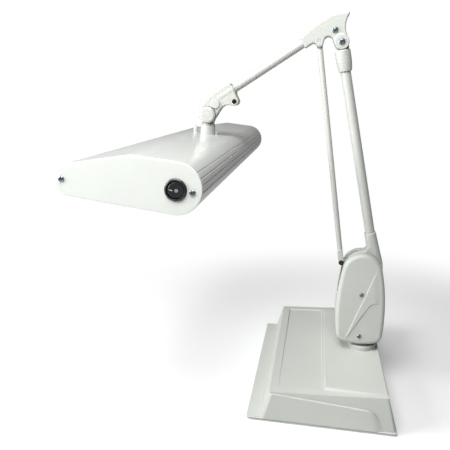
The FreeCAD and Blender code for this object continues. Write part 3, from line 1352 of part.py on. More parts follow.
def make_switch():
    """The round switch in the near end plate: its body with the bezel, and the rocker."""
    face = g.head_near
    shell = turned("SwitchShell", [
        (0, -g.switch_depth), (g.switch_barrel_radius - 0.1, -g.switch_depth),
        (g.switch_barrel_radius - 0.1, 0), (g.switch_bezel_radius, 0),
        (g.switch_bezel_radius, g.switch_bezel_thick * 0.4),
        (g.switch_bezel_radius - 1.6, g.switch_bezel_thick),
        (g.switch_bore_radius, g.switch_bezel_thick), (g.switch_bore_radius, -g.switch_pocket),
        (0, -g.switch_pocket)])
    place(shell, HEAD, 0, -g.switch_drop, -face, "near")
    pin = rod("SwitchPin", g.rocker_pin_radius, g.switch_bore_radius * 2 + 0.8, -g.switch_bore_radius - 0.4)
    place(pin, HEAD, 0, -g.switch_drop, -face + g.rocker_pin_depth)
    head_node("switch_body", joined("SwitchBody", [shell, pin]))

    rise = g.rocker_radius * sine(g.rocker_angle) / cosine(g.rocker_angle)
    crest = g.rocker_pin_depth + g.rocker_proud
    depth = g.rocker_pin_radius + g.rocker_wall
    wedge = slab("RockerFaces", g.rocker_radius * 3, lambda s: polygon(s, [
        (0, crest), (-g.rocker_radius, crest + rise), (-g.rocker_radius, -depth), (g.rocker_radius, -depth),
        (g.rocker_radius, crest + rise)]))
    disc = rod("RockerDisc", g.rocker_radius, 20, -10)
    round_key = doc.addObject("Part::Common", "RockerKey")
    round_key.Base = wedge
    round_key.Tool = disc
    hole = rod("RockerBore", g.rocker_pin_radius + g.run_gap, 30, -15)
    hole.Placement = FreeCAD.Placement(FreeCAD.Vector(0, 0, 0), FreeCAD.Rotation(FreeCAD.Vector(1, 0, 0), 90))
    rocker = without("Rocker", round_key, [hole])
    pivot = HEAD.point(0, -g.switch_drop)
    spin = FreeCAD.Rotation(FreeCAD.Vector(0, 1, 0), g.head_tilt.number).multiply(
        FreeCAD.Rotation(FreeCAD.Vector(0, 0, 1), g.rocker_angle.number)).multiply(
        FreeCAD.Rotation(FreeCAD.Vector(1, 0, 0), 90))
    y = -face + g.rocker_pin_depth
    rocker.Placement = FreeCAD.Placement(FreeCAD.Vector(pivot[0].number, y.number, pivot[1].number), spin)
    head_node("switch_rocker", rocker)


make_base_plate()
make_base_cover()
make_base_inside()
make_housing()
make_springs()
make_lower_arm()
make_linkage()
make_elbow()
make_head_socket()
make_bracket()
make_shade()
make_ends()
make_head_fittings()
make_switch()
doc.recompute()

for thing in doc.Objects:
    if "Invalid" in thing.State or "Error" in thing.State:
        raise ValueError(f"{thing.Name} ({thing.Label}) failed: {thing.State}")
for label, thing in nodes.items():
    if thing.Shape.isNull() or not thing.Shape.isValid():
        raise ValueError(f"{label} has no valid shape")

os.makedirs("parts", exist_ok=True)
for label, thing in nodes.items():
    thing.Shape.exportStep(f"parts/{label}.step")
    box = thing.Shape.BoundBox
    print(f"{label}: {len(thing.Shape.Solids)} solids, {thing.Shape.Volume:.0f} mm3, "
          f"x {box.XMin:.1f} {box.XMax:.1f} y {box.YMin:.1f} {box.YMax:.1f} z {box.ZMin:.1f} {box.ZMax:.1f}")
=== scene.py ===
"""Fluorescent task lamp on a balanced arm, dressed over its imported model.

Sizes are in millimetres and turned to metres when a mesh is made. +X points to the back, -Y to the end of the
lamp head with the switch, +Z up. The sections follow the lamp as it is put together, from the foot to the switch.
"""
import json
import math
import bmesh
import bpy
import numpy as np
from mathutils import Matrix, Vector


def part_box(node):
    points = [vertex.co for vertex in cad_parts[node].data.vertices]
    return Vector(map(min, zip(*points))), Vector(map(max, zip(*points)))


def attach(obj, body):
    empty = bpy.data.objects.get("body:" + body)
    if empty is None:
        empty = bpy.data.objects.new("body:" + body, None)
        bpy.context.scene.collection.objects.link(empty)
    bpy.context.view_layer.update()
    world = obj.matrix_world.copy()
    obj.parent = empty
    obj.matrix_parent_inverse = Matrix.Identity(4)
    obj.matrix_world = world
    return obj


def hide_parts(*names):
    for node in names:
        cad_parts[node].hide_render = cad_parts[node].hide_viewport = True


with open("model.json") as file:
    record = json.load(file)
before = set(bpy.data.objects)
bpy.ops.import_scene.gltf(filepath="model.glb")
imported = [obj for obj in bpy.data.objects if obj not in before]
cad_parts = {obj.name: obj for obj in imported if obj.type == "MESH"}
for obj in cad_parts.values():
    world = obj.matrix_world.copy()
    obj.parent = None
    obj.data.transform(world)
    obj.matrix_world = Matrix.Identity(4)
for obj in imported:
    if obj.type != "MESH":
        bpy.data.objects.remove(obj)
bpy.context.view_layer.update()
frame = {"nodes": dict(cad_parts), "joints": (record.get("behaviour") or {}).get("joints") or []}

# Photo studio: the camera solved from the base corners, tubes and end plates, a soft light on the user's side, a
# second one close over the lamp head, and a white room.
scene = bpy.context.scene
show = scene.collection.objects.link
scene.view_settings.view_transform = "Standard"
yaw, pitch, roll = math.radians(-11.02), math.radians(13.27), math.radians(0.385)
camera_place = (-0.08057, -0.72943, 0.45226)
photo_side, focal_length, centre_x, centre_y = 450, 474.15, 226.78, 206.75
sight = Vector((math.sin(yaw) * math.cos(pitch), math.cos(yaw) * math.cos(pitch), -math.sin(pitch)))
level = Vector((math.cos(yaw), -math.sin(yaw), 0))
below = sight.cross(level)
right = math.cos(roll) * level + math.sin(roll) * below
down = math.cos(roll) * below - math.sin(roll) * level
camera = bpy.data.objects.new("camera", bpy.data.cameras.new("camera"))
stand = Matrix((right, -down, -sight)).transposed().to_4x4()
stand.translation = camera_place
camera.matrix_world = stand
camera.data.sensor_width = 36
camera.data.lens = focal_length * camera.data.sensor_width / photo_side
camera.data.shift_x = (photo_side / 2 - centre_x) / photo_side
camera.data.shift_y = (centre_y - photo_side / 2) / photo_side
show(camera)
scene.camera = camera
for name, place, aim, size, watts in (
        ("side_softbox", (-1.25, -0.47, 0.72), (-0.1, 0.0, 0.15), 0.7, 20.0),
        ("overhead_softbox", (-0.24, -0.46, 0.98), (-0.15, -0.1, 0.1), 0.55, 9.2)):
    lamp = bpy.data.objects.new(name, bpy.data.lights.new(name, "AREA"))
    lamp.data.size = size
    lamp.data.energy = watts
    lamp.visible_camera = False
    lamp.location = place
    lamp.rotation_euler = (Vector(aim) - Vector(place)).to_track_quat("-Z", "Y").to_euler()
    show(lamp)


def linear(code):
    """Linear colour of an sRGB hex code: channel c becomes ((c + 0.055) / 1.055) ^ 2.4, or c / 12.92 if dark."""
    c = np.array([int(code[k:k + 2], 16) for k in (1, 3, 5)]) / 255
    return (*np.where(c <= 0.04045, c / 12.92, ((c + 0.055) / 1.055) ** 2.4).tolist(), 1.0)


def add(holder, kind, inputs, **settings):
    """Adds a node with its own settings. Each input takes a value, a socket, or a node's first output."""
    node = holder.node_tree.nodes.new("ShaderNode" + kind)
    for name, value in settings.items():
        setattr(node, name, value)
    for key, value in inputs.items():
        if isinstance(value, bpy.types.Node):
            value = value.outputs[0]
        if isinstance(value, bpy.types.NodeSocket):
            holder.node_tree.links.new(value, node.inputs[key])
        else:
            node.inputs[key].default_value = value
    return node


def seen_directly(holder):
    """1 for rays from the camera or through glass, 0.2 for mirrored ones, and 0 for those that light the lamp."""
    path = add(holder, "LightPath", {})
    clear = add(holder, "Math", {0: path.outputs["Is Camera Ray"], 1: path.outputs["Is Transmission Ray"]},
                operation="MAXIMUM")
    mirrored = add(holder, "Math", {0: path.outputs["Is Glossy Ray"], 1: 0.2}, operation="MULTIPLY")
    return add(holder, "Math", {0: clear, 1: mirrored}, operation="MAXIMUM").outputs[0]


# The room gives the lamp little light of its own. The camera sees it white, and metal shows a dim copy of it.
room = bpy.data.worlds.new("room")
room.use_nodes = True
scene.world = room
lit_room = add(room, "Background", {"Color": linear("#F8FAFF"), "Strength": 0.06})
white_room = room.node_tree.nodes["Background"]
white_room.inputs["Color"].default_value = linear("#FFFFFF")
choice = add(room, "MixShader", {0: seen_directly(room), 1: lit_room, 2: white_room})
room.node_tree.links.new(choice.outputs[0], room.node_tree.nodes["World Output"].inputs["Surface"])

# The floor is white paper: it takes the lamp's shadow, and a weak glow seen by the camera alone lifts it to white.
# From 0.3 to 0.7 m out it burns out, so it meets the white room with no line.
paper = bpy.data.materials.new("studio_paper")
paper.use_nodes = True
sheet = paper.node_tree.nodes["Principled BSDF"]
sheet.inputs["Base Color"].default_value = linear("#E4E5E4")
sheet.inputs["Roughness"].default_value = 0.9
sheet.inputs["Specular IOR Level"].default_value = 0.0
lift = add(paper, "Math", {0: seen_directly(paper), 1: 0.25}, operation="MULTIPLY")
glow = add(paper, "Emission", {"Color": linear("#FFFFFF"), "Strength": lift})
both = add(paper, "AddShader", {0: sheet, 1: glow})
away = add(paper, "VectorMath", {0: add(paper, "TexCoord", {}).outputs["Object"]}, operation="LENGTH")
burnt = add(paper, "MapRange", {0: away.outputs["Value"], 1: 0.3, 2: 0.7}, interpolation_type="SMOOTHSTEP")
share = add(paper, "Math", {0: burnt, 1: seen_directly(paper)}, operation="MULTIPLY")
plain = add(paper, "Emission", {"Color": linear("#FFFFFF"), "Strength": 1.0})
merged = add(paper, "MixShader", {0: share, 1: both, 2: plain})
paper.node_tree.links.new(merged.outputs[0], paper.node_tree.nodes["Material Output"].inputs["Surface"])
floor_mesh = bpy.data.meshes.new("floor")
floor_mesh.from_pydata([(-9, -9, 0), (9, -9, 0), (9, 9, 0), (-9, 9, 0)], [], [(0, 1, 2, 3)])
floor_mesh.materials.append(paper)
floor = bpy.data.objects.new("floor", floor_mesh)
show(floor)


# Foot pad: a die-cut sheet of black neoprene rubber, glued under the plate. Its calendered face has a fine
# uneven grain that takes the light as a dull grey sheen.
def blotches(material, size, detail=2.0, stretch=(1, 1, 1)):
    """Noise on the piece's own coordinates with blotches about size mm across. Stretch below 1 draws them out."""
    own = add(material, "TexCoord", {})
    spread = add(material, "Mapping", {"Vector": own.outputs["Object"], "Scale": stretch})
    noise = add(material, "TexNoise", {"Vector": spread, "Scale": 1000 / size, "Detail": detail})
    return noise.outputs[0]


def new_material(name, code, tinted=None, rough=None, bump=None, **sockets):
    """A material whose constants stand on its shader's own sockets. Where its blotches are light, tinted = (colour,
    *blotches) mixes in another colour, rough = (low, high, *blotches) takes the roughness from low to high, and
    bump = (depth, *blotches) raises the surface by depth mm."""
    material = bpy.data.materials.new(name)
    material.use_nodes = True
    shader, link = material.node_tree.nodes["Principled BSDF"], material.node_tree.links.new
    shader.inputs["Base Color"].default_value = linear(code)
    for socket, value in sockets.items():
        shader.inputs[socket.replace("_", " ")].default_value = value
    if tinted:
        mix = add(material, "Mix", {0: blotches(material, *tinted[1:]), 6: linear(code), 7: linear(tinted[0])},
                  data_type="RGBA")
        link(mix.outputs[2], shader.inputs["Base Color"])
    if rough:
        spread = add(material, "MapRange", {0: blotches(material, *rough[2:]), 1: 0.3, 2: 0.7, 3: rough[0],
                                            4: rough[1]})
        link(spread.outputs[0], shader.inputs["Roughness"])
    if bump:
        raised = add(material, "Bump", {"Height": blotches(material, *bump[1:]), "Distance": bump[0] / 1000,
                                        "Strength": 1.0})
        link(raised.outputs[0], shader.inputs["Normal"])
    return material


def dress(slot, material, *nodes):
    """Gives carried-over nodes their material."""
    for node in nodes:
        for holder in frame["nodes"][node].material_slots:
            holder.material = material


rubber = new_material("neoprene_rubber", "#26282A", ("#34363A", 6.0, 4.0), bump=(0.03, 0.8), IOR=1.52,
                      Roughness=0.7)
dress("foot_rubber", rubber, "base_pad")


# Base plate: 4 mm steel plate, its top edge rounded over in the press and its rim rolled with a thin groove. Its
# stoved satin enamel is the arms' paint, made lighter here as a painted highlight on its rim. Only its ledge on the
# user's side and its rim all round are seen.
def standing(x, z, lean=0.0):
    """A frame in the arms' plane, leaning to the user: a point is its corner, plus across and along turned by the
    lean in x and z, with side straight along y."""
    cos, sin = math.cos(math.radians(lean)), math.sin(math.radians(lean))

    def place(across, side, along):
        across, side, along = np.broadcast_arrays(across, side, along)
        return np.stack([x + across * cos - along * sin, side, z + across * sin + along * cos], -1)

    return place


world = standing(0, 0)


def shell(rows, around=True, closed=(0, -1)):
    """Points and faces of a grid. around joins its last column to the first, and each row named in closed gets a
    fan about its middle."""
    count, width = rows.shape[:2]
    i = np.arange(count - 1)[:, None]
    j = np.arange(width if around else width - 1)[None]
    k = (j + 1) % width
    quads = np.stack([i * width + j, i * width + k, (i + 1) * width + k, (i + 1) * width + j], -1).reshape(-1, 4)
    points = rows.reshape(-1, 3)
    fans = np.zeros((0, 3), int)
    for row in closed:
        edge = np.arange(width) + row % count * width
        fans = np.concatenate([fans, np.stack([np.roll(edge, -1), edge, np.full(width, len(points))], -1)])
        points = np.concatenate([points, rows[row].mean(0)[None]])
    return points, quads, fans


def merge(mesh, outwards=False):
    """Merges the doubles of a mesh, and can turn its faces outwards."""
    work = bmesh.new()
    work.from_mesh(mesh)
    bmesh.ops.remove_doubles(work, verts=work.verts, dist=2e-6)
    if outwards:
        bmesh.ops.recalc_face_normals(work, faces=work.faces)
    work.to_mesh(mesh)
    work.free()


def fit(name, mesh, body, slot, material, *nodes):
    """Makes a mesh a piece with smooth shading, which rides on its body and stands for the nodes it replaces."""
    piece = bpy.data.objects.new(name, mesh)
    show(piece)
    mesh.polygons.foreach_set("use_smooth", np.ones(len(mesh.polygons), bool))
    mesh.materials.clear()
    mesh.materials.append(material)
    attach(piece, body)
    if nodes:
        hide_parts(*nodes)
    return piece


def make(name, shells, body, slot, material, *nodes, sharp=38, wall=0.0):
    """Joins shells into one piece and keeps its edges over an angle sharp. A wall thickness grows inwards."""
    starts = np.cumsum([0] + [len(points) for points, _, _ in shells])
    points = np.concatenate([points for points, _, _ in shells]) / 1000
    faces = []
    for start, (_, quads, fans) in zip(starts, shells):
        faces += (quads + start).tolist() + (fans + start).tolist()
    mesh = bpy.data.meshes.new(name)
    mesh.from_pydata(points.tolist(), [], faces)
    merge(mesh, outwards=True)
    piece = fit(name, mesh, body, slot, material, *nodes)
    mesh.set_sharp_from_angle(angle=math.radians(sharp))
    if wall:
        thick = piece.modifiers.new("wall", "SOLIDIFY")
        thick.thickness = wall / 1000
        thick.offset = -1


def soft_corner(a, corner, b, t):
    """A curve from a to b that a corner pulls out: (1-t)^2 a + 2t(1-t) corner + t^2 b."""
    return (1 - t) ** 2 * a + 2 * t * (1 - t) * corner + t ** 2 * b


def eased(profile, reach, steps=5):
    """Rounds the inner corners of a profile. Each soft corner starts and ends at reach from it on its two edges,
    or a little under half way along a short edge."""
    profile = np.asarray(profile, float)
    before, corner, after = profile[:-2], profile[1:-1], profile[2:]
    reach = np.broadcast_to(reach, len(profile))[1:-1]

    def towards(end):
        """The point at reach from each corner, on its edge to one end."""
        span = np.linalg.norm(end - corner, axis=1)
        return (corner + (end - corner) * (np.minimum(reach, span * 0.48) / span)[:, None])[:, None]

    curve = soft_corner(towards(before), corner[:, None], towards(after), np.linspace(0, 1, steps)[None, :, None])
    return np.concatenate([profile[:1], curve.reshape(-1, 2), profile[-1:]])


def oblong(x0, x1, half, radius, steps=9):
    """Points and outward normals of a rectangle from x0 to x1 with rounded corners: corner centre + radius n."""
    turn = np.radians(np.concatenate([np.linspace(k, k + 90, steps) for k in (-90, 0, 90, 180)]))
    normal = np.stack([np.cos(turn), np.sin(turn)], -1)
    side = np.repeat([[1, -1], [1, 1], [-1, 1], [-1, -1]], steps, 0)
    centre = np.where(side > 0, [x1 - radius, half - radius], [x0 + radius, radius - half])
    return centre + radius * normal, normal


plate_foot, plate_top = 1.2, 5.1
plate_user, plate_back, plate_half, plate_corner = -168.8, 38.0, 144.5, 4.0
# The plate's enamel is lighter than the arms' enamel of the same paint: a painted highlight for its lit rim.
plate_enamel = new_material("satin_stoved_enamel_on_plate_lightened_as_painted_highlight", "#CBCEC9", ("#C6C9C3", 45.0), (0.34, 0.46, 9.0),
                            (0.006, 3.0), IOR=1.5, Roughness=0.4)
rim, rim_normal = oblong(plate_user, plate_back, plate_half, plate_corner)
rim_inset, rim_height = eased(
    [(3.5, plate_foot), (1.3, plate_foot), (0.3, 1.9), (0.1, 2.4), (1.9, 2.8), (1.9, 3.5), (0, 3.9), (0, plate_top),
     (3.5, plate_top)], [0, 0.3, 0.3, 0.3, 0.1, 0.1, 0.4, 0.9, 0]).T[:, :, None]
plate_rows = world(rim[:, 0] - rim_inset * rim_normal[:, 0], rim[:, 1] - rim_inset * rim_normal[:, 1], rim_height)
make("steel_plate", [shell(plate_rows)], "base", "plate_enamel", plate_enamel, "base_plate")

# Screws under the plate: zinc plated steel, in sinks. Zinc plate is a bluish grey metal with a soft sheen and
# cloudy patches from the bath.
zinc = new_material("zinc_plated_steel", "#95A0A8", ("#6B7781", 1.6, 3.0), (0.2, 0.34, 0.9), Metallic=1.0,
                    Roughness=0.26)
dress("zinc", zinc, "base_screws")

# Base weight: a grey iron slab as it leaves the sand, with a coarse dull skin. It is out of sight in the cover.
iron = new_material("sand_cast_iron", "#46464A", ("#5A5552", 7.0, 5.0), bump=(0.2, 1.5, 4.0), Metallic=0.7,
                    Roughness=0.75)
dress("cast_iron", iron, "base_weight")


# Base cover: moulded in ABS and sprayed with a slightly textured enamel. Its top rises to the post and holds a
# shallow panel and a raised field, and a crease runs down its near wall. Screws hold it from under the plate.
def smooth(value):
    """0 below 0, 1 above 1, and the soft step 3 v^2 - 2 v^3 between them."""
    value = np.clip(value, 0, 1)
    return value * value * (3 - 2 * value)


foot_user, foot_back, foot_half = -149.5, 36.0, 142.5
top_user, top_back, top_half = -137.0, 24.6, 140.6
top_low, top_high = 46.8, 55.4
panel_start, panel_end, panel_half, panel_deep, panel_bank, panel_side_bank = 12.3, 73.3, 128.0, 0.6, 0.4, 1.6
field_start, field_end, field_spread, field_raise, field_bank = 77.0, 131.5, 5.0, 2.5, 0.7
spread_length, sink_start, sink_length, middle_half, middle_bank = 80, 80, 75, 90, 35
margin_start, margin_width, margin_fall = 130, 11, 0.9
cover_corner, edge_reach, edge_end = 2.6, 1.1, 2.0


def top_height(x):
    """Height of the plain top: it rises evenly from its user's edge to its back edge."""
    return top_low + (x - top_user) * (top_high - top_low) / (top_back - top_user)


def top_surface(x, y):
    """Height of the top: the plain top, minus the panel, which gets deeper to the far side, plus the field, which is
    low in its middle and sinks to the back, minus the fall of the margin towards the near and far edges."""
    u, side = x - top_user, np.abs(y)
    to_back = np.clip((u - sink_start) / sink_length, 0, 1)
    panel = (smooth(np.minimum(u - panel_start, panel_end - u) / panel_bank)
             * smooth((panel_half - side) / panel_side_bank))
    field_half = field_end + field_spread * np.clip((u - field_start) / spread_length, 0, 1)
    field = smooth(np.minimum((u - field_start) / field_bank, (field_half - side) / (5.6 - 2.8 * to_back)))
    rise = field_raise * (0.15 + 0.85 * smooth((side - middle_half) / middle_bank)) * (1 - 0.6 * to_back)
    margin = np.clip((side - margin_start) / margin_width, 0, 1)
    return top_height(x) + (rise * field - panel_deep * (1.2 + y / panel_half) * panel - margin_fall * margin)


def crease_height(x):
    """Height of the crease on the near wall: a slow fall from the user's corner, a bend, and a drop to the foot."""
    return np.interp(x, [-149.5, -137, -20, 0, 5, 9, 12, 15, 21, 36],
                     [44.5, 43.6, 35.6, 34.2, 33.4, 31.5, 28.5, 23.5, 8.0, 6.0])


def lines(marks, coarse):
    """Grid positions through the marks, with about coarse mm between them elsewhere."""
    marks = np.asarray(marks, float)
    counts = np.maximum(1, np.ceil(np.diff(marks) / coarse).astype(int))
    return np.concatenate([np.linspace(a, b, n, endpoint=False)
                           for a, b, n in zip(marks, marks[1:], counts)] + [marks[-1:]])


marks_x = [12.1, 12.3, 12.4, 12.5, 12.6, 12.7, 13.2, 72.7, 72.9, 73.0, 73.1, 73.2, 73.3, 73.6, 76.8, 77, 77.15, 77.3,
           77.45, 77.6, 77.7, 78.2]
marks_y = [113, 119, 121, 123, 124.5, 125.6, 126.4, 126.8, 127.2, 127.6, 128, 128.6, 129.6, 130.5, 131.5, 132.5, 134]
grid_x = lines([top_user + cover_corner, *(top_user + np.array(marks_x)), top_back - cover_corner], 2.2)
grid_y = lines([cover_corner - top_half, *(-np.array(marks_y[::-1])), *marks_y, top_half - cover_corner], 6)
bend = np.radians(np.linspace(0, 90, 9))[1:-1]


def around_cover(x0, x1, half, inset):
    """Plan points of the cover's outline, counterclockwise from the near user's corner. The stations on each side
    are the grid lines scaled to it, and each corner is an arc about a centre inset by the corner radius."""
    left, back, side = x0 + cover_corner, x1 - cover_corner, half - cover_corner
    xs = np.interp(grid_x, grid_x[[0, -1]], [left, back])
    ys = np.interp(grid_y, grid_y[[0, -1]], [-side, side])
    arc = (cover_corner - inset) * np.stack([np.sin(bend), -np.cos(bend)], -1)
    quarter = np.array([[0, 1], [-1, 0]])
    sides = [np.stack([xs, 0 * xs + inset - half], -1), np.stack([0 * ys + x1 - inset, ys], -1),
             np.stack([xs[::-1], 0 * xs + half - inset], -1), np.stack([0 * ys + x0 + inset, ys[::-1]], -1)]
    corners = [[back, -side] + arc, [back, side] + arc @ quarter, [left, side] - arc, [left, -side] - arc @ quarter]
    return np.concatenate([part for pair in zip(sides, corners) for part in pair])


def on_top(inset):
    """The ring of points on the top, a distance in from its outline."""
    x, y = around_cover(top_user, top_back, top_half, inset).T
    return world(x, y, top_surface(x, y))


foot_ring = world(*around_cover(foot_user, foot_back, foot_half, 0).T, plate_top)
edge_x, edge_y = around_cover(top_user, top_back, top_half, 0).T
edge_ring = world(edge_x, edge_y, top_height(edge_x))
ruling = foot_ring - edge_ring
shoulder = edge_ring + ruling * (edge_reach / np.linalg.norm(ruling, axis=1))[:, None]
# The crease: below it the near wall stands out by crease_stand, and its bank takes crease_bank of the wall's height.
crease_stand, crease_bank = 2.3, 0.016
foot_x, foot_y, foot_z = foot_ring.T
crease = np.clip((crease_height(foot_x) - foot_z) / (shoulder[:, 2] - foot_z), 0.02, 0.93)[:, None]
wall_share = np.concatenate([np.linspace(0, 1, 9) * (crease - 0.012),
                             crease + np.array([-0.005, 0.0, 0.004, 0.008, 0.012, 0.016, 0.03]),
                             crease + 0.045 + np.linspace(0, 1, 7) * (0.955 - crease)], 1)
on_near = (foot_y < 2 - foot_half + 1e-6) & (foot_x > foot_user + 2)
fade = smooth((foot_x - foot_user - 2) / 3) * smooth((foot_back - 8 - foot_x) / 6)
falling = smooth((crease_height(foot_x) - 8) / 26) ** 2
raised = (1 - smooth((wall_share - crease) / crease_bank)) * (on_near * fade * falling)[:, None]
walls = foot_ring[:, None] + (shoulder - foot_ring)[:, None] * wall_share[:, :, None]
walls[:, :, 1] -= crease_stand * raised
rounding = soft_corner(shoulder, edge_ring, on_top(edge_reach), np.linspace(0, 1, 8)[1:, None, None])
skirt = np.concatenate([walls.transpose(1, 0, 2), rounding, on_top(edge_end)[None], on_top(cover_corner)[None]])
flat_x, flat_y = np.meshgrid(grid_x, grid_y, indexing="ij")
deck = world(flat_x, flat_y, top_surface(flat_x, flat_y))

# The orange peel of the spray is about 0.5 mm across; it is drawn at 0.9 mm to show, and dulls the highlight.
textured_enamel = new_material("textured_enamel_on_abs", "#C1C4BE", ("#BBBEB8", 60.0), (0.4, 0.54, 5.0),
                               (0.035, 0.9, 1.0), IOR=1.5, Roughness=0.46)
make("cover_shell", [shell(skirt, closed=(0,)), shell(deck, around=False, closed=())],
     "base", "cover_enamel", textured_enamel, "base_cover", sharp=50)

# Post socket, its bushing, the swivel post and the cord inlet: a turned steel socket with a nylon sleeve for the
# ground steel post, and a nylon grommet in the far wall of the cover, where the mains lead enters.
# Turning marks run round the bar about 0.2 mm apart; they are drawn at 0.6 mm to show. Moulded nylon is dull.
steel = new_material("turned_steel", "#8E9296", None, (0.28, 0.42, 3.0), (0.01, 0.6, 2.0, (0.2, 0.2, 1.0)),
                     Metallic=1.0, Roughness=0.34)
nylon = new_material("black_nylon", "#232425", None, (0.42, 0.58, 2.5), (0.015, 0.7), IOR=1.53, Roughness=0.5)
dress("steel", steel, "post_socket", "swivel_post")
dress("nylon", nylon, "post_bushing")


def circle(steps):
    """Even angles once round."""
    return np.linspace(0, 2 * math.pi, steps, endpoint=False)


def turned(place, profile, across=0.0, side=0.0, along=0.0, facing="up", steps=96):
    """A profile of (radius, height) turned about an axis: radius (cos t, sin t) out from it and height along it.
    The axis runs up the frame, or out of it to the near or the far side. A radius of 0 becomes 0.05."""
    radius, height = np.asarray(profile, float).T[:, :, None]
    turn = circle(steps)[None]
    radius = np.maximum(radius, 0.05)
    out, up = radius * np.cos(turn), radius * np.sin(turn)
    if facing == "up":
        return place(across + out, side + up, along + height)
    return place(across + out, side + (height if facing == "far" else -height), along + up)


inlet_across, inlet_height = -60, 22
grommet = eased([(3.6, -6), (6, -6), (6, 0), (8.5, 0), (7.8, 3), (3.6, 3.2), (3.6, -6)], [0, .3, .1, .6, 1, .8, 0])
make("cord_grommet", [shell(turned(world, grommet, inlet_across, foot_half - 0.3, inlet_height, "far", 72),
                            closed=())], "base", "nylon", nylon, "cord_inlet_bushing")

# Collar round the post: a turned aluminium ring with an eased upper edge, pressed on the socket. It is sprayed
# with the smooth satin enamel of the arms, which shows a soft highlight and hardly any grain.
smooth_enamel = new_material("satin_stoved_enamel", "#B9BCB7", ("#B4B7B1", 45.0), (0.3, 0.42, 9.0), (0.006, 3.0),
                             IOR=1.5, Roughness=0.36, Coat_Weight=0.25, Coat_Roughness=0.18)


def band(inner, outer, low, high, reach, steps):
    """Profile of a ring, from its inner lower edge round to it, with the other three corners rounded."""
    return eased([(inner, low), (outer, low), (outer, high), (inner, high), (inner, low)], [0, *reach, 0], steps)


collar = band(9, 21.3, 50.4, 61.8, (0.3, 1.8, 0.4), 8)
make("post_ring", [shell(turned(world, collar, steps=128), closed=())], "base", "cover_enamel",
     smooth_enamel, "post_collar")


# Housing covers: two moulded ABS shells with a wide soft edge, in the textured enamel. A wedge-shaped field is
# raised on each face, between a straight line and a bent one. Four screws hold them to the frame between them.
def bridge(a, b, radius):
    """Centre of the big arc that holds circles a and b inside it and touches both: it is radius less their own
    radii away from their centres."""
    a, b = np.asarray(a, float), np.asarray(b, float)
    reach_a, reach_b = radius - a[2], radius - b[2]
    gap = b[:2] - a[:2]
    span = np.linalg.norm(gap)
    step = (reach_a ** 2 - reach_b ** 2 + span ** 2) / (2 * span)
    rise = math.sqrt(reach_a ** 2 - step ** 2)
    return a[:2] + gap / span * step + np.array([-gap[1], gap[0]]) / span * rise


def sweep(centre, radius, start, end, count):
    """Points and normals of an arc: centre + radius (cos a, sin a) for angles from start to end."""
    turn = np.linspace(start, end, count)[:, None]
    normal = np.concatenate([np.cos(turn), np.sin(turn)], 1)
    return centre + radius * normal, normal


def heading(start, end):
    """Angle of the line from one point to another."""
    return math.atan2(end[1] - start[1], end[0] - start[0])


house = standing(-7.6, 0)
house_face, house_round, house_wall = 22.0, 6.0, 2.2
egg_foot, egg_crown, bottom_radius, side_radius = (19.6, 83.6, 16.0), (0.0, 184.5, 30.0), 100.0, 360.0
egg_bottom = bridge((-19.6, 83.6, 16.0), egg_foot, bottom_radius)
egg_side = bridge(egg_foot, egg_crown, side_radius)
turns = [-math.pi / 2, heading(egg_bottom, egg_foot), heading(egg_side, egg_foot), heading(egg_side, egg_crown),
         math.pi / 2]
arcs = ((egg_bottom, bottom_radius, 14), (egg_foot[:2], egg_foot[2], 26), (egg_side, side_radius, 150),
        (egg_crown[:2], egg_crown[2], 34))
egg_parts = [sweep(centre, radius, start, end, count)
             for (centre, radius, count), start, end in zip(arcs, turns, turns[1:])]
egg, egg_normal = (np.concatenate([part[k][:-1] for part in egg_parts] + [egg_parts[-1][k][-1:]]) for k in (0, 1))
egg_loop = np.concatenate([egg, egg[-2:0:-1] * [-1, 1]])
egg_loop_normal = np.concatenate([egg_normal, egg_normal[-2:0:-1] * [-1, 1]])
slot_floor, slot_half, seam = 140.0, 10.5, 0.05
wedge_top, wedge_lean, wedge_rise = (18.8, 183.4), 0.351, 0.85
bend_across = [-18, -10.6, 1.3, 12.0, 14.2, 17, 26, 30]
bend_height = [78.0, 91.0, 112.6, 130.6, 133.6, 135.3, 136.9, 137.4]


def wedge(x, z, inner):
    """Rise of the face: 1 on the field to the right of the straight line and above the bent one, with soft banks,
    falling off towards the rounded edge."""
    straight = (x - wedge_top[0]) * math.cos(wedge_lean) - (z - wedge_top[1]) * math.sin(wedge_lean)
    bent = z - np.interp(x, bend_across, bend_height)
    return smooth((straight + 0.6) / 1.1) * smooth(bent / 0.9) * smooth(inner / 11.0)


def housing_cover(name, side, node):
    """Rows go from the seam out to the rounded edge and in to the face; the face is a grid of lines drawn across
    between points of the last row at one height."""
    edge = np.where(egg_loop[:, 1] > slot_floor, slot_half, seam)
    flank = edge[None] + (house_face - house_round - edge)[None] * np.linspace(0, 1, 5)[:, None]
    turn = np.linspace(0, math.pi / 2, 9)[1:, None]
    depth = np.concatenate([flank, house_face - house_round + house_round * np.sin(turn) + 0 * flank[:1]])
    inset = np.concatenate([0 * flank, house_round * (1 - np.cos(turn)) + 0 * flank[:1]])
    rows = house(egg_loop[:, 0] - inset * egg_loop_normal[:, 0], side * depth,
                 egg_loop[:, 1] - inset * egg_loop_normal[:, 1])
    face_rim = egg - house_round * egg_normal
    share = np.linspace(-1, 1, 141)[None, :]
    across, height = face_rim[:, :1] * share, face_rim[:, 1:] + 0 * share
    rise = wedge_rise * wedge(across, height, face_rim[:, :1] - np.abs(across))
    face = house(across, side * (house_face + rise), height)
    make(name, [shell(rows, closed=()), shell(face, around=False, closed=())],
         "housing", "cover_enamel", textured_enamel, node, wall=house_wall)


housing_cover("near_shell", -1, "near_cover")
housing_cover("far_shell", 1, "far_cover")


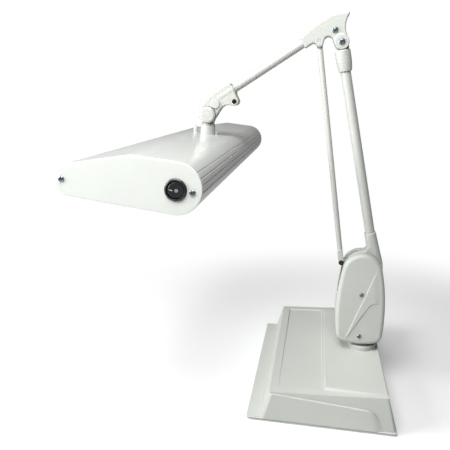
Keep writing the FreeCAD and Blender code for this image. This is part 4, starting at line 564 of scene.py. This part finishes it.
# Cover screws: pan heads with a cross recess, zinc plated. The recess is stamped, with soft sloping walls.
def recess(u, v, drive, size):
    """1 in the middle of the drive's recess and 0 outside it, for points u, v on the head."""
    if drive == "cross":
        arm = np.minimum(np.abs(u), np.abs(v))
        return smooth((0.2 * size - arm) / (0.08 * size) + 0.5) * smooth((size - np.hypot(u, v)) / (0.25 * size))
    if drive == "slot":
        return smooth((0.17 * size - np.abs(v)) / (0.06 * size) + 0.5) * smooth((size * 1.2 - np.hypot(u, v)) * 9)
    if drive == "hex":
        angle = np.arctan2(v, u)
        reach = np.hypot(u, v) * np.cos((angle + math.pi / 6) % (math.pi / 3) - math.pi / 6)
        return smooth((size - reach) / (0.12 * size))
    return smooth((size - np.hypot(u, v)) / (0.5 * size))


def headed(place, head_radius, thick, shank, length, across, side, along, facing, drive="cross", size=0.6,
           deep=0.55, skew=0.4, steps=96):
    """A screw in one grid: from the middle of the head out over its dome, which falls as 0.28 (r / R)^2 and rolls
    off at the edge, down its side, in to the shank and down it. The drive is sunk into the dome."""
    r = np.linspace(0.01, 1, 30)
    dome = thick * (1 - 0.28 * r ** 2 - 0.35 * smooth((r - 0.72) / 0.28))
    radius = np.concatenate([r * head_radius, [head_radius, head_radius, shank, shank]])[:, None]
    height = np.concatenate([dome, [thick * 0.2, 0, 0, -length]])[:, None]
    turn = circle(steps)[None]
    drive_sunk = recess(radius * np.cos(turn + skew), radius * np.sin(turn + skew), drive, size * head_radius)
    sunk = height - deep * thick * drive_sunk * (height > 0.3 * thick)
    return place(across + radius * np.cos(turn), side + (sunk if facing == "far" else -sunk),
                 along + radius * np.sin(turn))


screw_heights = (150.4, 80.7)
cover_screws = [shell(headed(house, 3.4, 2.2, 2.0, 13, 0, face, height, facing, skew=skew))
                for face, facing, skews in ((-house_face, "near", (0.3, 1.0)), (house_face, "far", (0.7, 0.1)))
                for height, skew in zip(screw_heights, skews)]
make("shell_screws", cover_screws, "housing", "zinc", zinc, "cover_screws")

# Housing frame, its spacers, anchor pins and the main pivot: pressed and turned steel, zinc plated, between the
# covers. The sheet shows faint rolling marks.
rolled_zinc = new_material("rolled_zinc_plated_sheet", "#A6ACB1", ("#8B9299", 2.5, 3.0), None,
                           (0.01, 0.8, 2.0, (1, 1, 0.1)), Metallic=1.0, Roughness=0.36)
dress("steel", rolled_zinc, "housing_frame")
dress("steel", steel, "frame_spacers")
dress("zinc", zinc, "spring_anchor_pins", "pivot_bolt", "pivot_nut", "pivot_washers")


# Springs: two closed coils of 2 mm oil-tempered wire, drawn in to a straight tail at each end. They hang
# between the anchor pins and the eyes of the hub and the lever. The oil leaves the wire nearly black, with a shine.
def wire(path, normal, radius, steps=8):
    """A round wire along a path: path + radius (cos t n + sin t b), with n near the given normals and b at right
    angles to it and to the path."""
    tangent = np.gradient(path, axis=0)
    tangent /= np.linalg.norm(tangent, axis=1)[:, None]
    normal = normal - (normal * tangent).sum(1)[:, None] * tangent
    normal /= np.linalg.norm(normal, axis=1)[:, None]
    other = np.cross(tangent, normal)
    turn = circle(steps)[None, :, None]
    return path[:, None] + radius * (np.cos(turn) * normal[:, None] + np.sin(turn) * other[:, None])


wire_radius, coil_radius, coil_pitch, tail_length = 0.95, 5.0, 2.05, 8
oiled_wire = new_material("oil_tempered_wire", "#3C3E42", ("#54504A", 2.0), (0.22, 0.4, 0.7), Metallic=1.0,
                          Roughness=0.3)
for name, node in (("arm_coil", "arm_spring"), ("lever_coil", "lever_spring")):
    low, high = (1000 * np.array(corner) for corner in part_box(node))
    across = (low[0] + high[0]) / 2
    start, end = low[2] + tail_length, high[2] - tail_length
    rounds = (end - start) / coil_pitch
    turn = np.linspace(0, rounds * 2 * math.pi, int(rounds * 24))
    first_round = np.minimum(turn, turn[-1] - turn) / (2 * math.pi)
    outward = np.stack([np.cos(turn), np.sin(turn), 0 * turn], -1)
    coil = outward * (coil_radius * smooth(first_round) + 0.02)[:, None] + [across, 0, 0]
    coil[:, 2] = np.linspace(start, end, len(turn))
    tails = [wire(np.array([[across, 0, a], [across, 0, b]]), [1.0, 0, 0], wire_radius)
             for a, b in ((low[2], start + 1), (end - 1, high[2]))]
    make(name, [shell(rows) for rows in (wire(coil, outward, wire_radius), *tails)], "housing", "spring_steel",
         oiled_wire, node)


# Lower arm: the hub casting, a welded steel tube and the elbow casting. The castings are zinc alloy, fettled and
# stoved in the smooth enamel, so their edges are soft.
def cast(name, node, body, cell, rounds, form=None):
    """Softens a copy of a CAD node: it is wrapped again in even cells, and each point is moved half way to the mean
    of its neighbours, a number of rounds. A form then moves the points, which it takes and gives in mm."""
    mesh = frame["nodes"][node].data.copy()
    merge(mesh)
    raw = bpy.data.objects.new(name + "_raw", mesh)
    show(raw)
    wrap = raw.modifiers.new("wrap", "REMESH")
    wrap.mode = "VOXEL"
    wrap.voxel_size = cell / 1000
    ease = raw.modifiers.new("ease", "SMOOTH")
    ease.factor = 0.5
    ease.iterations = rounds
    ready = bpy.data.meshes.new_from_object(raw.evaluated_get(bpy.context.evaluated_depsgraph_get()))
    bpy.data.objects.remove(raw)
    if form:
        points = np.zeros(len(ready.vertices) * 3)
        ready.vertices.foreach_get("co", points)
        ready.vertices.foreach_set("co", (form(1000 * points.reshape(-1, 3)) / 1000).ravel())
    fit(name, ready, body, "arm_enamel", smooth_enamel, node)


pivots = {joint["name"]: 1000 * np.array(joint["pos_m"]) for joint in frame["joints"]}
elbow = pivots["elbow_pivot"]
arm_lean, tube_turn, tube_offset = 7.93, 3.48, 0.75
tube_lean = arm_lean + tube_turn
tube_head = standing(elbow[0], elbow[2], arm_lean)(-tube_offset, 0, 0)
tube_frame = standing(tube_head[0], tube_head[2], tube_lean)
neck_half, neck_top = 8.4, 49.7


def tube_spot(points):
    """How far points are across the tube's axis and along it: their x and z turned back by the tube's lean."""
    cos, sin = math.cos(math.radians(tube_lean)), math.sin(math.radians(tube_lean))
    x, z = points[..., 0] - tube_head[0], points[..., 2] - tube_head[2]
    return x * cos + z * sin, z * cos - x * sin


def round_neck(points):
    """Rounds the hub's neck: y is scaled by sqrt(1 - 0.8 d^2), where d grows from 0 at 8.4 mm inside the neck's
    left or right edge to 1 at the edge. The left edge is left square on the disc, which holds the lever."""
    across, along = tube_spot(points)
    rise = along - tube_spot(pivots["lower_arm_pivot"])[1]
    right_edge = np.interp(rise, [0, neck_top], [11.8, neck_half])
    left_edge = np.interp(rise, [20, 28, neck_top], [-24.0, -10.5, -neck_half])
    near_right = np.clip(1 - (right_edge - across) / neck_half, 0, 1) * smooth(rise / 8 + 1)
    near_left = np.clip(1 - (across - left_edge) / neck_half, 0, 1) * smooth((rise - 25) / 4)
    points[:, 1] *= np.sqrt(1 - 0.8 * np.maximum(near_right, near_left) ** 2)
    return points


cast("hub_casting", "arm_hub", "lower_arm", 0.55, 14, round_neck)
cast("elbow_neck", "lower_arm_head", "lower_arm", 0.45, 16)
tube_profile = [(7.1, -306), (7.15, -305), (7.15, -23), (7.1, -21.5)]
make("lower_arm_tube", [shell(turned(tube_frame, tube_profile))], "lower_arm", "arm_enamel", smooth_enamel,
     "lower_tube")
# Sintered bronze, dark brown with black patches, is made darker still as painted shade for the dimple of the rivet
# and the hole of the pinch screw.
bronze = new_material("sintered_bronze_darkened_as_painted_shade", "#4E402B", ("#292117", 1.2, 4.0), bump=(0.02, 0.5), Metallic=1.0,
                      Roughness=0.4)
dress("bronze", bronze, "elbow_bushing")

# Balance linkage: a pressed steel lever on the main pivot and a steel tie rod with a forked foot, both enamelled.
# A bronze rivet with a dimpled head joins them.
cast("lever_plate", "balance_lever", "balance_lever", 0.5, 10)
cast("forked_tie_rod", "tie_rod", "tie_rod", 0.5, 10)
rivet_spot = pivots["tie_rod_pivot"]
rivet_frame = standing(rivet_spot[0], rivet_spot[2])
rivet = [shell(headed(rivet_frame, 4.0, 1.3, 2.0, 6, 0, face, 0, facing, "dimple", 0.45, 0.5))
         for face, facing in ((-6.4, "near"), (6.4, "far"))]
make("dimpled_rivet", rivet, "balance_lever", "bronze", bronze, "lever_rivet")

# Upper arm: the sculpted elbow casting, its two screws, the steel tube and the head socket with its split clamp.
upper = standing(elbow[0], elbow[2], 121.7)
cast("elbow_body", "elbow_casting", "upper_arm", 0.45, 22)
cast("clamp_socket", "head_socket", "upper_arm", 0.45, 16)
upper_profile = [(6.3, 31.5), (6.35, 32.5), (6.35, 185), (6.3, 186.4)]
make("upper_arm_tube", [shell(turned(upper, upper_profile, 28.5))], "upper_arm", "arm_enamel", smooth_enamel,
     "upper_tube")
second_screw = 19.1
elbow_set = [shell(headed(upper, 4.4, 2.8, 3.0, 21, 0, -11.0, 0, "near", "hex", 0.5, 0.6)),
             shell(headed(upper, 4.2, 2.6, 2.0, 15, second_screw, -8.0, 0, "near", "cross", 0.6, 0.5, 0.9))]
make("elbow_bolts", elbow_set, "upper_arm", "zinc", zinc, "elbow_screws")
nut_set = [shell(headed(upper, 4.6, 2.6, 2.9, 1, 0, 11.0, 0, "far", "dimple", 0.6, 0.3, steps=6)),
           shell(headed(upper, 3.8, 2.4, 2.0, 1, second_screw, 8.0, 0, "far", "dimple", 0.6, 0.3, steps=6))]
make("elbow_hex_nuts", nut_set, "upper_arm", "zinc", zinc, "elbow_nuts", sharp=25)
dress("zinc", smooth_enamel, "tie_rod_pin")
pinch = shell(headed(upper, 3.4, 1.8, 2.0, 17, 11.8, -9.0, 174.0, "near", "slot", 1.0, 0.55, 0.8))
make("slotted_pinch_screw", [pinch], "upper_arm", "bronze", bronze, "pinch_screw")


def drum(radius, low, high, foot, brow, steps):
    """Profile of a solid disc or rod, with its lower and upper edges rounded."""
    return eased([(0, low), (radius, low), (radius, high), (0, high)], [0, foot, brow, 0], steps)


make("clamp_button", [shell(turned(upper, drum(6.6, 0, 2.0, 0.1, 0.8, 6), 23.8, -9.0, 200.9, "near", 72))],
     "upper_arm", "arm_enamel", smooth_enamel, "clamp_boss")

# Tilt joint: a turned cap with a broad soft chamfer closes the bolt of the fork, which pinches the bracket's eye
# between two friction washers. A thin black nylon ring under the cap, a little wider than it, is painted shadow for
# the gap round the cap.
tilt_spot = pivots["head_tilt"]
head_lean = 4.48
tilt = standing(tilt_spot[0], tilt_spot[2], -head_lean)
fork_side, eye_hole = -9.0, 3.3
cap = eased([(0, 5.5), (10.1, 5.3), (12.4, 3.4), (12.4, 0.9), (11.8, 0.4), (0, 0.4)], [0, 1.4, 0.8, .3, .2, 0], 6)
make("tilt_knob", [shell(turned(tilt, cap, 0, fork_side, 0, "near"))], "upper_arm", "arm_enamel", smooth_enamel,
     "tilt_cap")
# The black ring under the cap is painted shadow in the gap between the cap and the fork.
make("cap_shadow_ring", [shell(turned(tilt, drum(12.9, 0.05, 0.6, 0.2, 0.2, 3), 0, fork_side, 0, "near"))], "upper_arm",
     "nylon", nylon)
dress("zinc", zinc, "tilt_bolt")
dress("zinc", nylon, "tilt_washers")


def clear_bolt(points):
    """Keeps the wrapped eye off the bolt: no point stands nearer the tilt axis than the radius of the hole."""
    middle = tilt_spot[[0, 2]]
    reach = points[:, [0, 2]] - middle
    far = np.linalg.norm(reach, axis=1)[:, None]
    points[:, [0, 2]] = middle + reach * np.maximum(1, eye_hole / far)
    return points


cast("tilt_eye", "tilt_bracket", "head_bracket", 0.4, 10, clear_bolt)


# Shade: one aluminium extrusion of aerofoil section, open underneath, with four grooves along its rear lobe. It
# is finished in a satin silver grey that mirrors what stands near it, and shows faint lines from the die.
swivel = pivots["head_swivel"]
swivel_back, head_turn = 32.5, math.radians(0.84)
axis = np.array([math.sin(math.radians(head_lean)), 0, math.cos(math.radians(head_lean))])
cross = np.array([axis[2], 0, -axis[0]])
head_across = math.cos(head_turn) * cross + math.sin(head_turn) * np.array([0, 1, 0])
head_side = math.cos(head_turn) * np.array([0, 1, 0]) - math.sin(head_turn) * cross


def head(across, side, along):
    """The head's frame: its corner is the middle of the rear lobe, 32.5 mm behind the swivel axis, and it stands
    0.84 degrees round that axis."""
    across, side, along = (value[..., None] for value in np.broadcast_arrays(across, side, along))
    return swivel + (across + swivel_back) * head_across + side * head_side + along * axis


# Across, height and radius of the rear lobe, the crown and the nose.
lobes = np.array([(0.0, 0.0, 27.0), (-44.7, -15.7, 45.0), (-113.2, -2.6, 17.0)])
near_end, far_end, end_thick, shade_wall = -288.0, 262.2, 2.5, 1.8
groove_angles, groove_deep = np.radians([41.0, 26.0, 11.0, -4.0]), 0.95
mouth_back, mouth_front = -24.0, -104.0


def aerofoil(turn, inset=0.0):
    """Points and normals of the head's outline: for each direction, the point that lies farthest that way on the
    two lobes, and above them on the crown as well."""
    normal = np.stack([np.cos(turn), np.sin(turn)], -1)
    reach = normal @ lobes[:, :2].T + lobes[:, 2]
    reach[:, 1] = np.where(normal[:, 1] > 0, reach[:, 1], -np.inf)
    lobe = lobes[reach.argmax(1)]
    return lobe[:, :2] + (lobe[:, 2:] - inset) * normal, normal


nose = -lobes[2, :2]
flat_angle = math.asin((lobes[0, 2] - lobes[2, 2]) / math.hypot(*nose)) - math.atan2(nose[1], nose[0])
beside = np.radians([-2.6, -2.2, -1.5, -0.5, 0, 0.5, 1.5, 2.2, 2.6])
sweep_end = 1.5 * math.pi - flat_angle - 0.002
shade_turn = np.sort(np.concatenate([np.linspace(sweep_end - 2 * math.pi + 0.004, sweep_end, 190),
                                     (groove_angles[:, None] + beside).ravel()]))
outer, outer_normal = aerofoil(shade_turn)
from_groove = np.abs(shade_turn[:, None] - groove_angles[None]).min(1)
groove = groove_deep * (1 - smooth((from_groove - math.radians(0.5)) / math.radians(1.7)))
outer = outer - groove[:, None] * outer_normal
inner_wall, _ = aerofoil(shade_turn, shade_wall)


def underside(across, above):
    """A point above the flat underside, which is the line between the lowest points of the two lobes."""
    return [[across, np.interp(across, outer[[-1, 0], 0], outer[[-1, 0], 1]) + above]]


section = np.concatenate([underside(mouth_back, 0), outer, underside(mouth_front, 0),
                          underside(mouth_front, shade_wall), inner_wall[::-1], underside(mouth_back, shade_wall)])
stations = np.linspace(near_end + end_thick, far_end - end_thick, 12)[:, None]
# Die lines are hair fine and run along the extrusion; they are drawn 0.7 mm apart to show.
satin_enamel = new_material("satin_enamel_on_aluminium", "#CDCFCB", ("#C8CAC6", 50.0), (0.28, 0.36, 14.0),
                            (0.0015, 0.7, 2.0, (1.0, 0.004, 1.0)), IOR=1.5, Roughness=0.32, Coat_Weight=0.6,
                            Coat_Roughness=0.14)
make("extruded_shade", [shell(head(section[:, 0], stations, section[:, 1]), closed=())], "head",
     "shade_enamel", satin_enamel, "shade", sharp=32)

# End plates: cast aluminium lids with a thin rounded rim, in near-white enamel with a soft sheen. The near one
# has the hole for the switch, and two screws hold each.
white_enamel = new_material("white_stoved_enamel", "#E7EAE5", ("#E2E5E0", 30.0), (0.36, 0.46, 7.0), (0.015, 1.4),
                            IOR=1.5, Roughness=0.4)


def spaced(points, normals, step):
    """A closed outline and its normals again, with a point every step mm along it."""
    points, normals = (np.concatenate([values, values[:1]]) for values in (points, normals))
    along = np.concatenate([[0], np.cumsum(np.linalg.norm(np.diff(points, axis=0), axis=1))])
    stops = np.arange(0, along[-1] - step / 2, step)
    return [np.stack([np.interp(stops, along, values[:, k]) for k in (0, 1)], -1) for values in (points, normals)]


plate_line, plate_normal = spaced(*aerofoil(circle(400)), 1.5)
lid_inset, lid_height = eased([(3, 0), (0, 0), (0, end_thick), (3, end_thick)], [0, 0.3, 0.8, 0], 6).T[:, :, None]
switch_centre, hole_radius = np.array([0.0, -1.1]), 9.9


def end_plate(face, outward):
    """Rows of a lid: its rounded rim, with the outer side at face and the thickness going in."""
    return head(plate_line[:, 0] - lid_inset * plate_normal[:, 0], face + outward * (lid_height - end_thick),
                plate_line[:, 1] - lid_inset * plate_normal[:, 1])


toward = plate_line - switch_centre
hole = switch_centre + hole_radius * toward / np.linalg.norm(toward, axis=1)[:, None]
hole_inside, hole_outside = (head(hole[:, 0], face, hole[:, 1])[None] for face in (near_end + end_thick, near_end))
near_rows = np.concatenate([hole_inside, end_plate(near_end, -1), hole_outside, hole_inside])
make("near_lid", [shell(near_rows, closed=())], "head", "end_enamel", white_enamel, "near_end_plate")
make("far_lid", [shell(end_plate(far_end, 1))], "head", "end_enamel", white_enamel, "far_end_plate")
lid_screw_across, lid_screw_height = (-121.8, 17.3), -2.3
end_screws = [shell(headed(head, 3.2, 1.76, 1.6, 9, across, face, lid_screw_height, facing, skew=skew))
              for face, facing, skews in ((near_end, "near", (0.5, 0.2)), (far_end, "far", (0.9, 0.4)))
              for across, skew in zip(lid_screw_across, skews)]
make("lid_screws", end_screws, "head", "zinc", zinc, "end_plate_screws")


# Head collar, stop studs and swivel nut: the collar is a turned aluminium bush that the stem turns in, and the
# studs beside it stop the swing. They are enamelled with the arms; the nut inside is plated.
def crown(across):
    """Height of the shade's top: the line from the rear lobe to the crown, or the crown beyond it."""
    points = aerofoil(np.linspace(0.02, math.pi / 2 + 0.9, 500))[0]
    return np.interp(-across, -points[:, 0], points[:, 1])


collar_foot = crown(-swivel_back) - 4
head_ring = band(6.1, 11.3, collar_foot, 42.1, (0.1, 0.7, 0.2), 6)
make("swivel_ring", [shell(turned(head, head_ring, -swivel_back), closed=())], "head", "arm_enamel",
     smooth_enamel, "head_collar")
studs = []
for across, radius, height, brow in ((-19.5, 3.1, 10.6, 1.5), (14.0, 2.2, 4.6, 1.2)):
    top = crown(across - swivel_back)
    stud = drum(radius, top - 1, top + height, 0, brow, 7)
    studs.append(shell(turned(head, stud, across - swivel_back, steps=72)))
make("swing_stops", studs, "head", "zinc", smooth_enamel, "stop_studs")
dress("steel", zinc, "swivel_nut")

# Inside the head: a folded reflector in gloss white, two fluorescent tubes in their holders, and the ballast in
# a plated steel case. The tubes are glass with a white powder coat inside, and end in aluminium caps with pins.
# Gloss enamel mirrors the tubes in slow waves, glass is sharper, and the caps and holders have a soft shine.
gloss_white = new_material("gloss_white_reflector", "#F4F5F1", None, (0.12, 0.2, 12.0), (0.05, 18.0), IOR=1.5,
                           Roughness=0.16)
phosphor_glass = new_material("phosphor_coated_glass", "#F1F3EF", ("#EAEDEA", 25.0), (0.06, 0.12, 4.0), IOR=1.52,
                              Roughness=0.08)
aluminium = new_material("spun_aluminium_cap", "#C9CBCC", None, (0.25, 0.4, 2.0), (0.01, 0.6, 2.0, (1.0, 0.1, 1.0)),
                         Metallic=1.0, Roughness=0.32)
holder_plastic = new_material("white_polycarbonate", "#E6E6E1", ("#DEDED8", 9.0), bump=(0.01, 0.8), IOR=1.58,
                              Roughness=0.32)
dress("reflector_white", gloss_white, "reflector")
dress("holder_plastic", holder_plastic, "lamp_holders")
dress("holder_plastic", rolled_zinc, "ballast")
middle_of_head = (near_end + far_end) / 2
glass_half, tube_half, tube_height, pin_reach, pin_apart = 206.5, 218.5, -1.0, 7, 6.35
glass_profile = drum(12.6, -glass_half, glass_half, 1, 1, 4)
cap_profile = drum(12.9, glass_half - 1, tube_half, 0.3, 2.0, 6)
pin_profile = drum(1.2, tube_half - 1, tube_half + pin_reach, 0, 0.8, 4)
glasses, metal_ends = [], []
for across in (-46.0, -86.0):
    glasses.append(shell(turned(head, glass_profile, across, middle_of_head, tube_height, "far", 72)))
    for facing in ("near", "far"):
        metal_ends += [shell(turned(head, profile, across + step, middle_of_head, tube_height, facing, steps))
                       for profile, step, steps in ((cap_profile, 0, 72), (pin_profile, -pin_apart, 16),
                                                    (pin_profile, pin_apart, 16))]
make("lamp_glass", glasses, "head", "lamp_glass", phosphor_glass, "lamp_tubes")
make("lamp_ends", metal_ends, "head", "lamp_cap", aluminium, "tube_caps")

# Switch: a round rocker switch, snapped into the near lid. Its bezel and rocker are moulded in polished black
# polycarbonate, which shows the lights as soft streaks.
black_gloss = new_material("polished_black_plastic", "#16181A", None, (0.28, 0.4, 3.0), (0.006, 1.2), IOR=1.58,
                           Roughness=0.32)
bezel = eased([(0, -17.8), (9.8, -17.8), (9.8, 0.0), (11.7, 0.0), (11.7, 0.9), (10.4, 2.0), (9.3, 2.0), (9.1, -8.8),
               (0, -8.8)], [0, 0.5, 0, 0.2, 0.5, 0.7, 0.4, 0.5, 0], 6)
make("switch_bezel", [shell(turned(head, bezel, 0, near_end, switch_centre[1], "near"))], "head", "switch_black",
     black_gloss, "switch_body")
rocker_middle = pivots["switch_rocker"]
rocker_tilt, rocker_radius = math.radians(9.0), 8.25


def rocker(u, v, height):
    """The rocker's frame: u across the hinge, v along it and height out of the plate, turned 9 degrees about the
    hinge so that its right half is pressed in."""
    u, v, height = (value[..., None] for value in np.broadcast_arrays(u, v, height))
    across = u * math.cos(rocker_tilt) + height * math.sin(rocker_tilt)
    out = height * math.cos(rocker_tilt) - u * math.sin(rocker_tilt)
    return rocker_middle + across * head_across - out * head_side + v * axis


def rocker_face(u):
    """Height of the two faces of the rocker over its hinge: a shallow V with a soft bottom."""
    return 4.2 + np.sqrt(u * u + 0.5) * math.tan(rocker_tilt)


share = np.linspace(0.01, 1, 26)[:, None]
turn = circle(96)[None]
u, v = rocker_radius * share * np.cos(turn), rocker_radius * share * np.sin(turn)
roll_off = 0.5 * smooth((share - 0.92) / 0.08)
key_rows = np.concatenate([rocker(u, v, rocker_face(u) - roll_off),
                           rocker(u[-1:], v[-1:], np.array([[2.0], [-2.4]]))])
make("rocker_key", [shell(key_rows)], "rocker", "switch_black", black_gloss, "switch_rocker", sharp=60)

# Marks on the rocker: the generic ring and bar for off and on, pad printed in dull white ink, 0.05 mm proud. The
# ring is over the hinge, and the bar on the left half.
print_white = new_material("pad_printed_white", "#E9EBEA", ("#C9CCCC", 0.5), IOR=1.5, Roughness=0.5)
ink_top, ink_foot = 0.05, -0.1
ring_turn = circle(40)[None]
ring_radius = np.array([[0.9], [1.55], [1.55], [0.9], [0.9]])
ring_lift = np.array([[ink_top], [ink_top], [ink_foot], [ink_foot], [ink_top]])
ring_u, ring_v = 0.1 + ring_radius * np.cos(ring_turn), ring_radius * np.sin(ring_turn) - 0.6
bar_u, bar_v = np.array([[-7.0, -3.8, -3.8, -7.0]]), np.array([[-0.25, -1.05, -0.15, 0.65]])
bar_lift = np.array([[ink_foot], [ink_top]])
make("rocker_marks", [shell(rocker(ring_u, ring_v, rocker_face(ring_u) + ring_lift), closed=()),
                      shell(rocker(bar_u, bar_v, rocker_face(bar_u) + bar_lift))],
     "rocker", "switch_black", print_white)
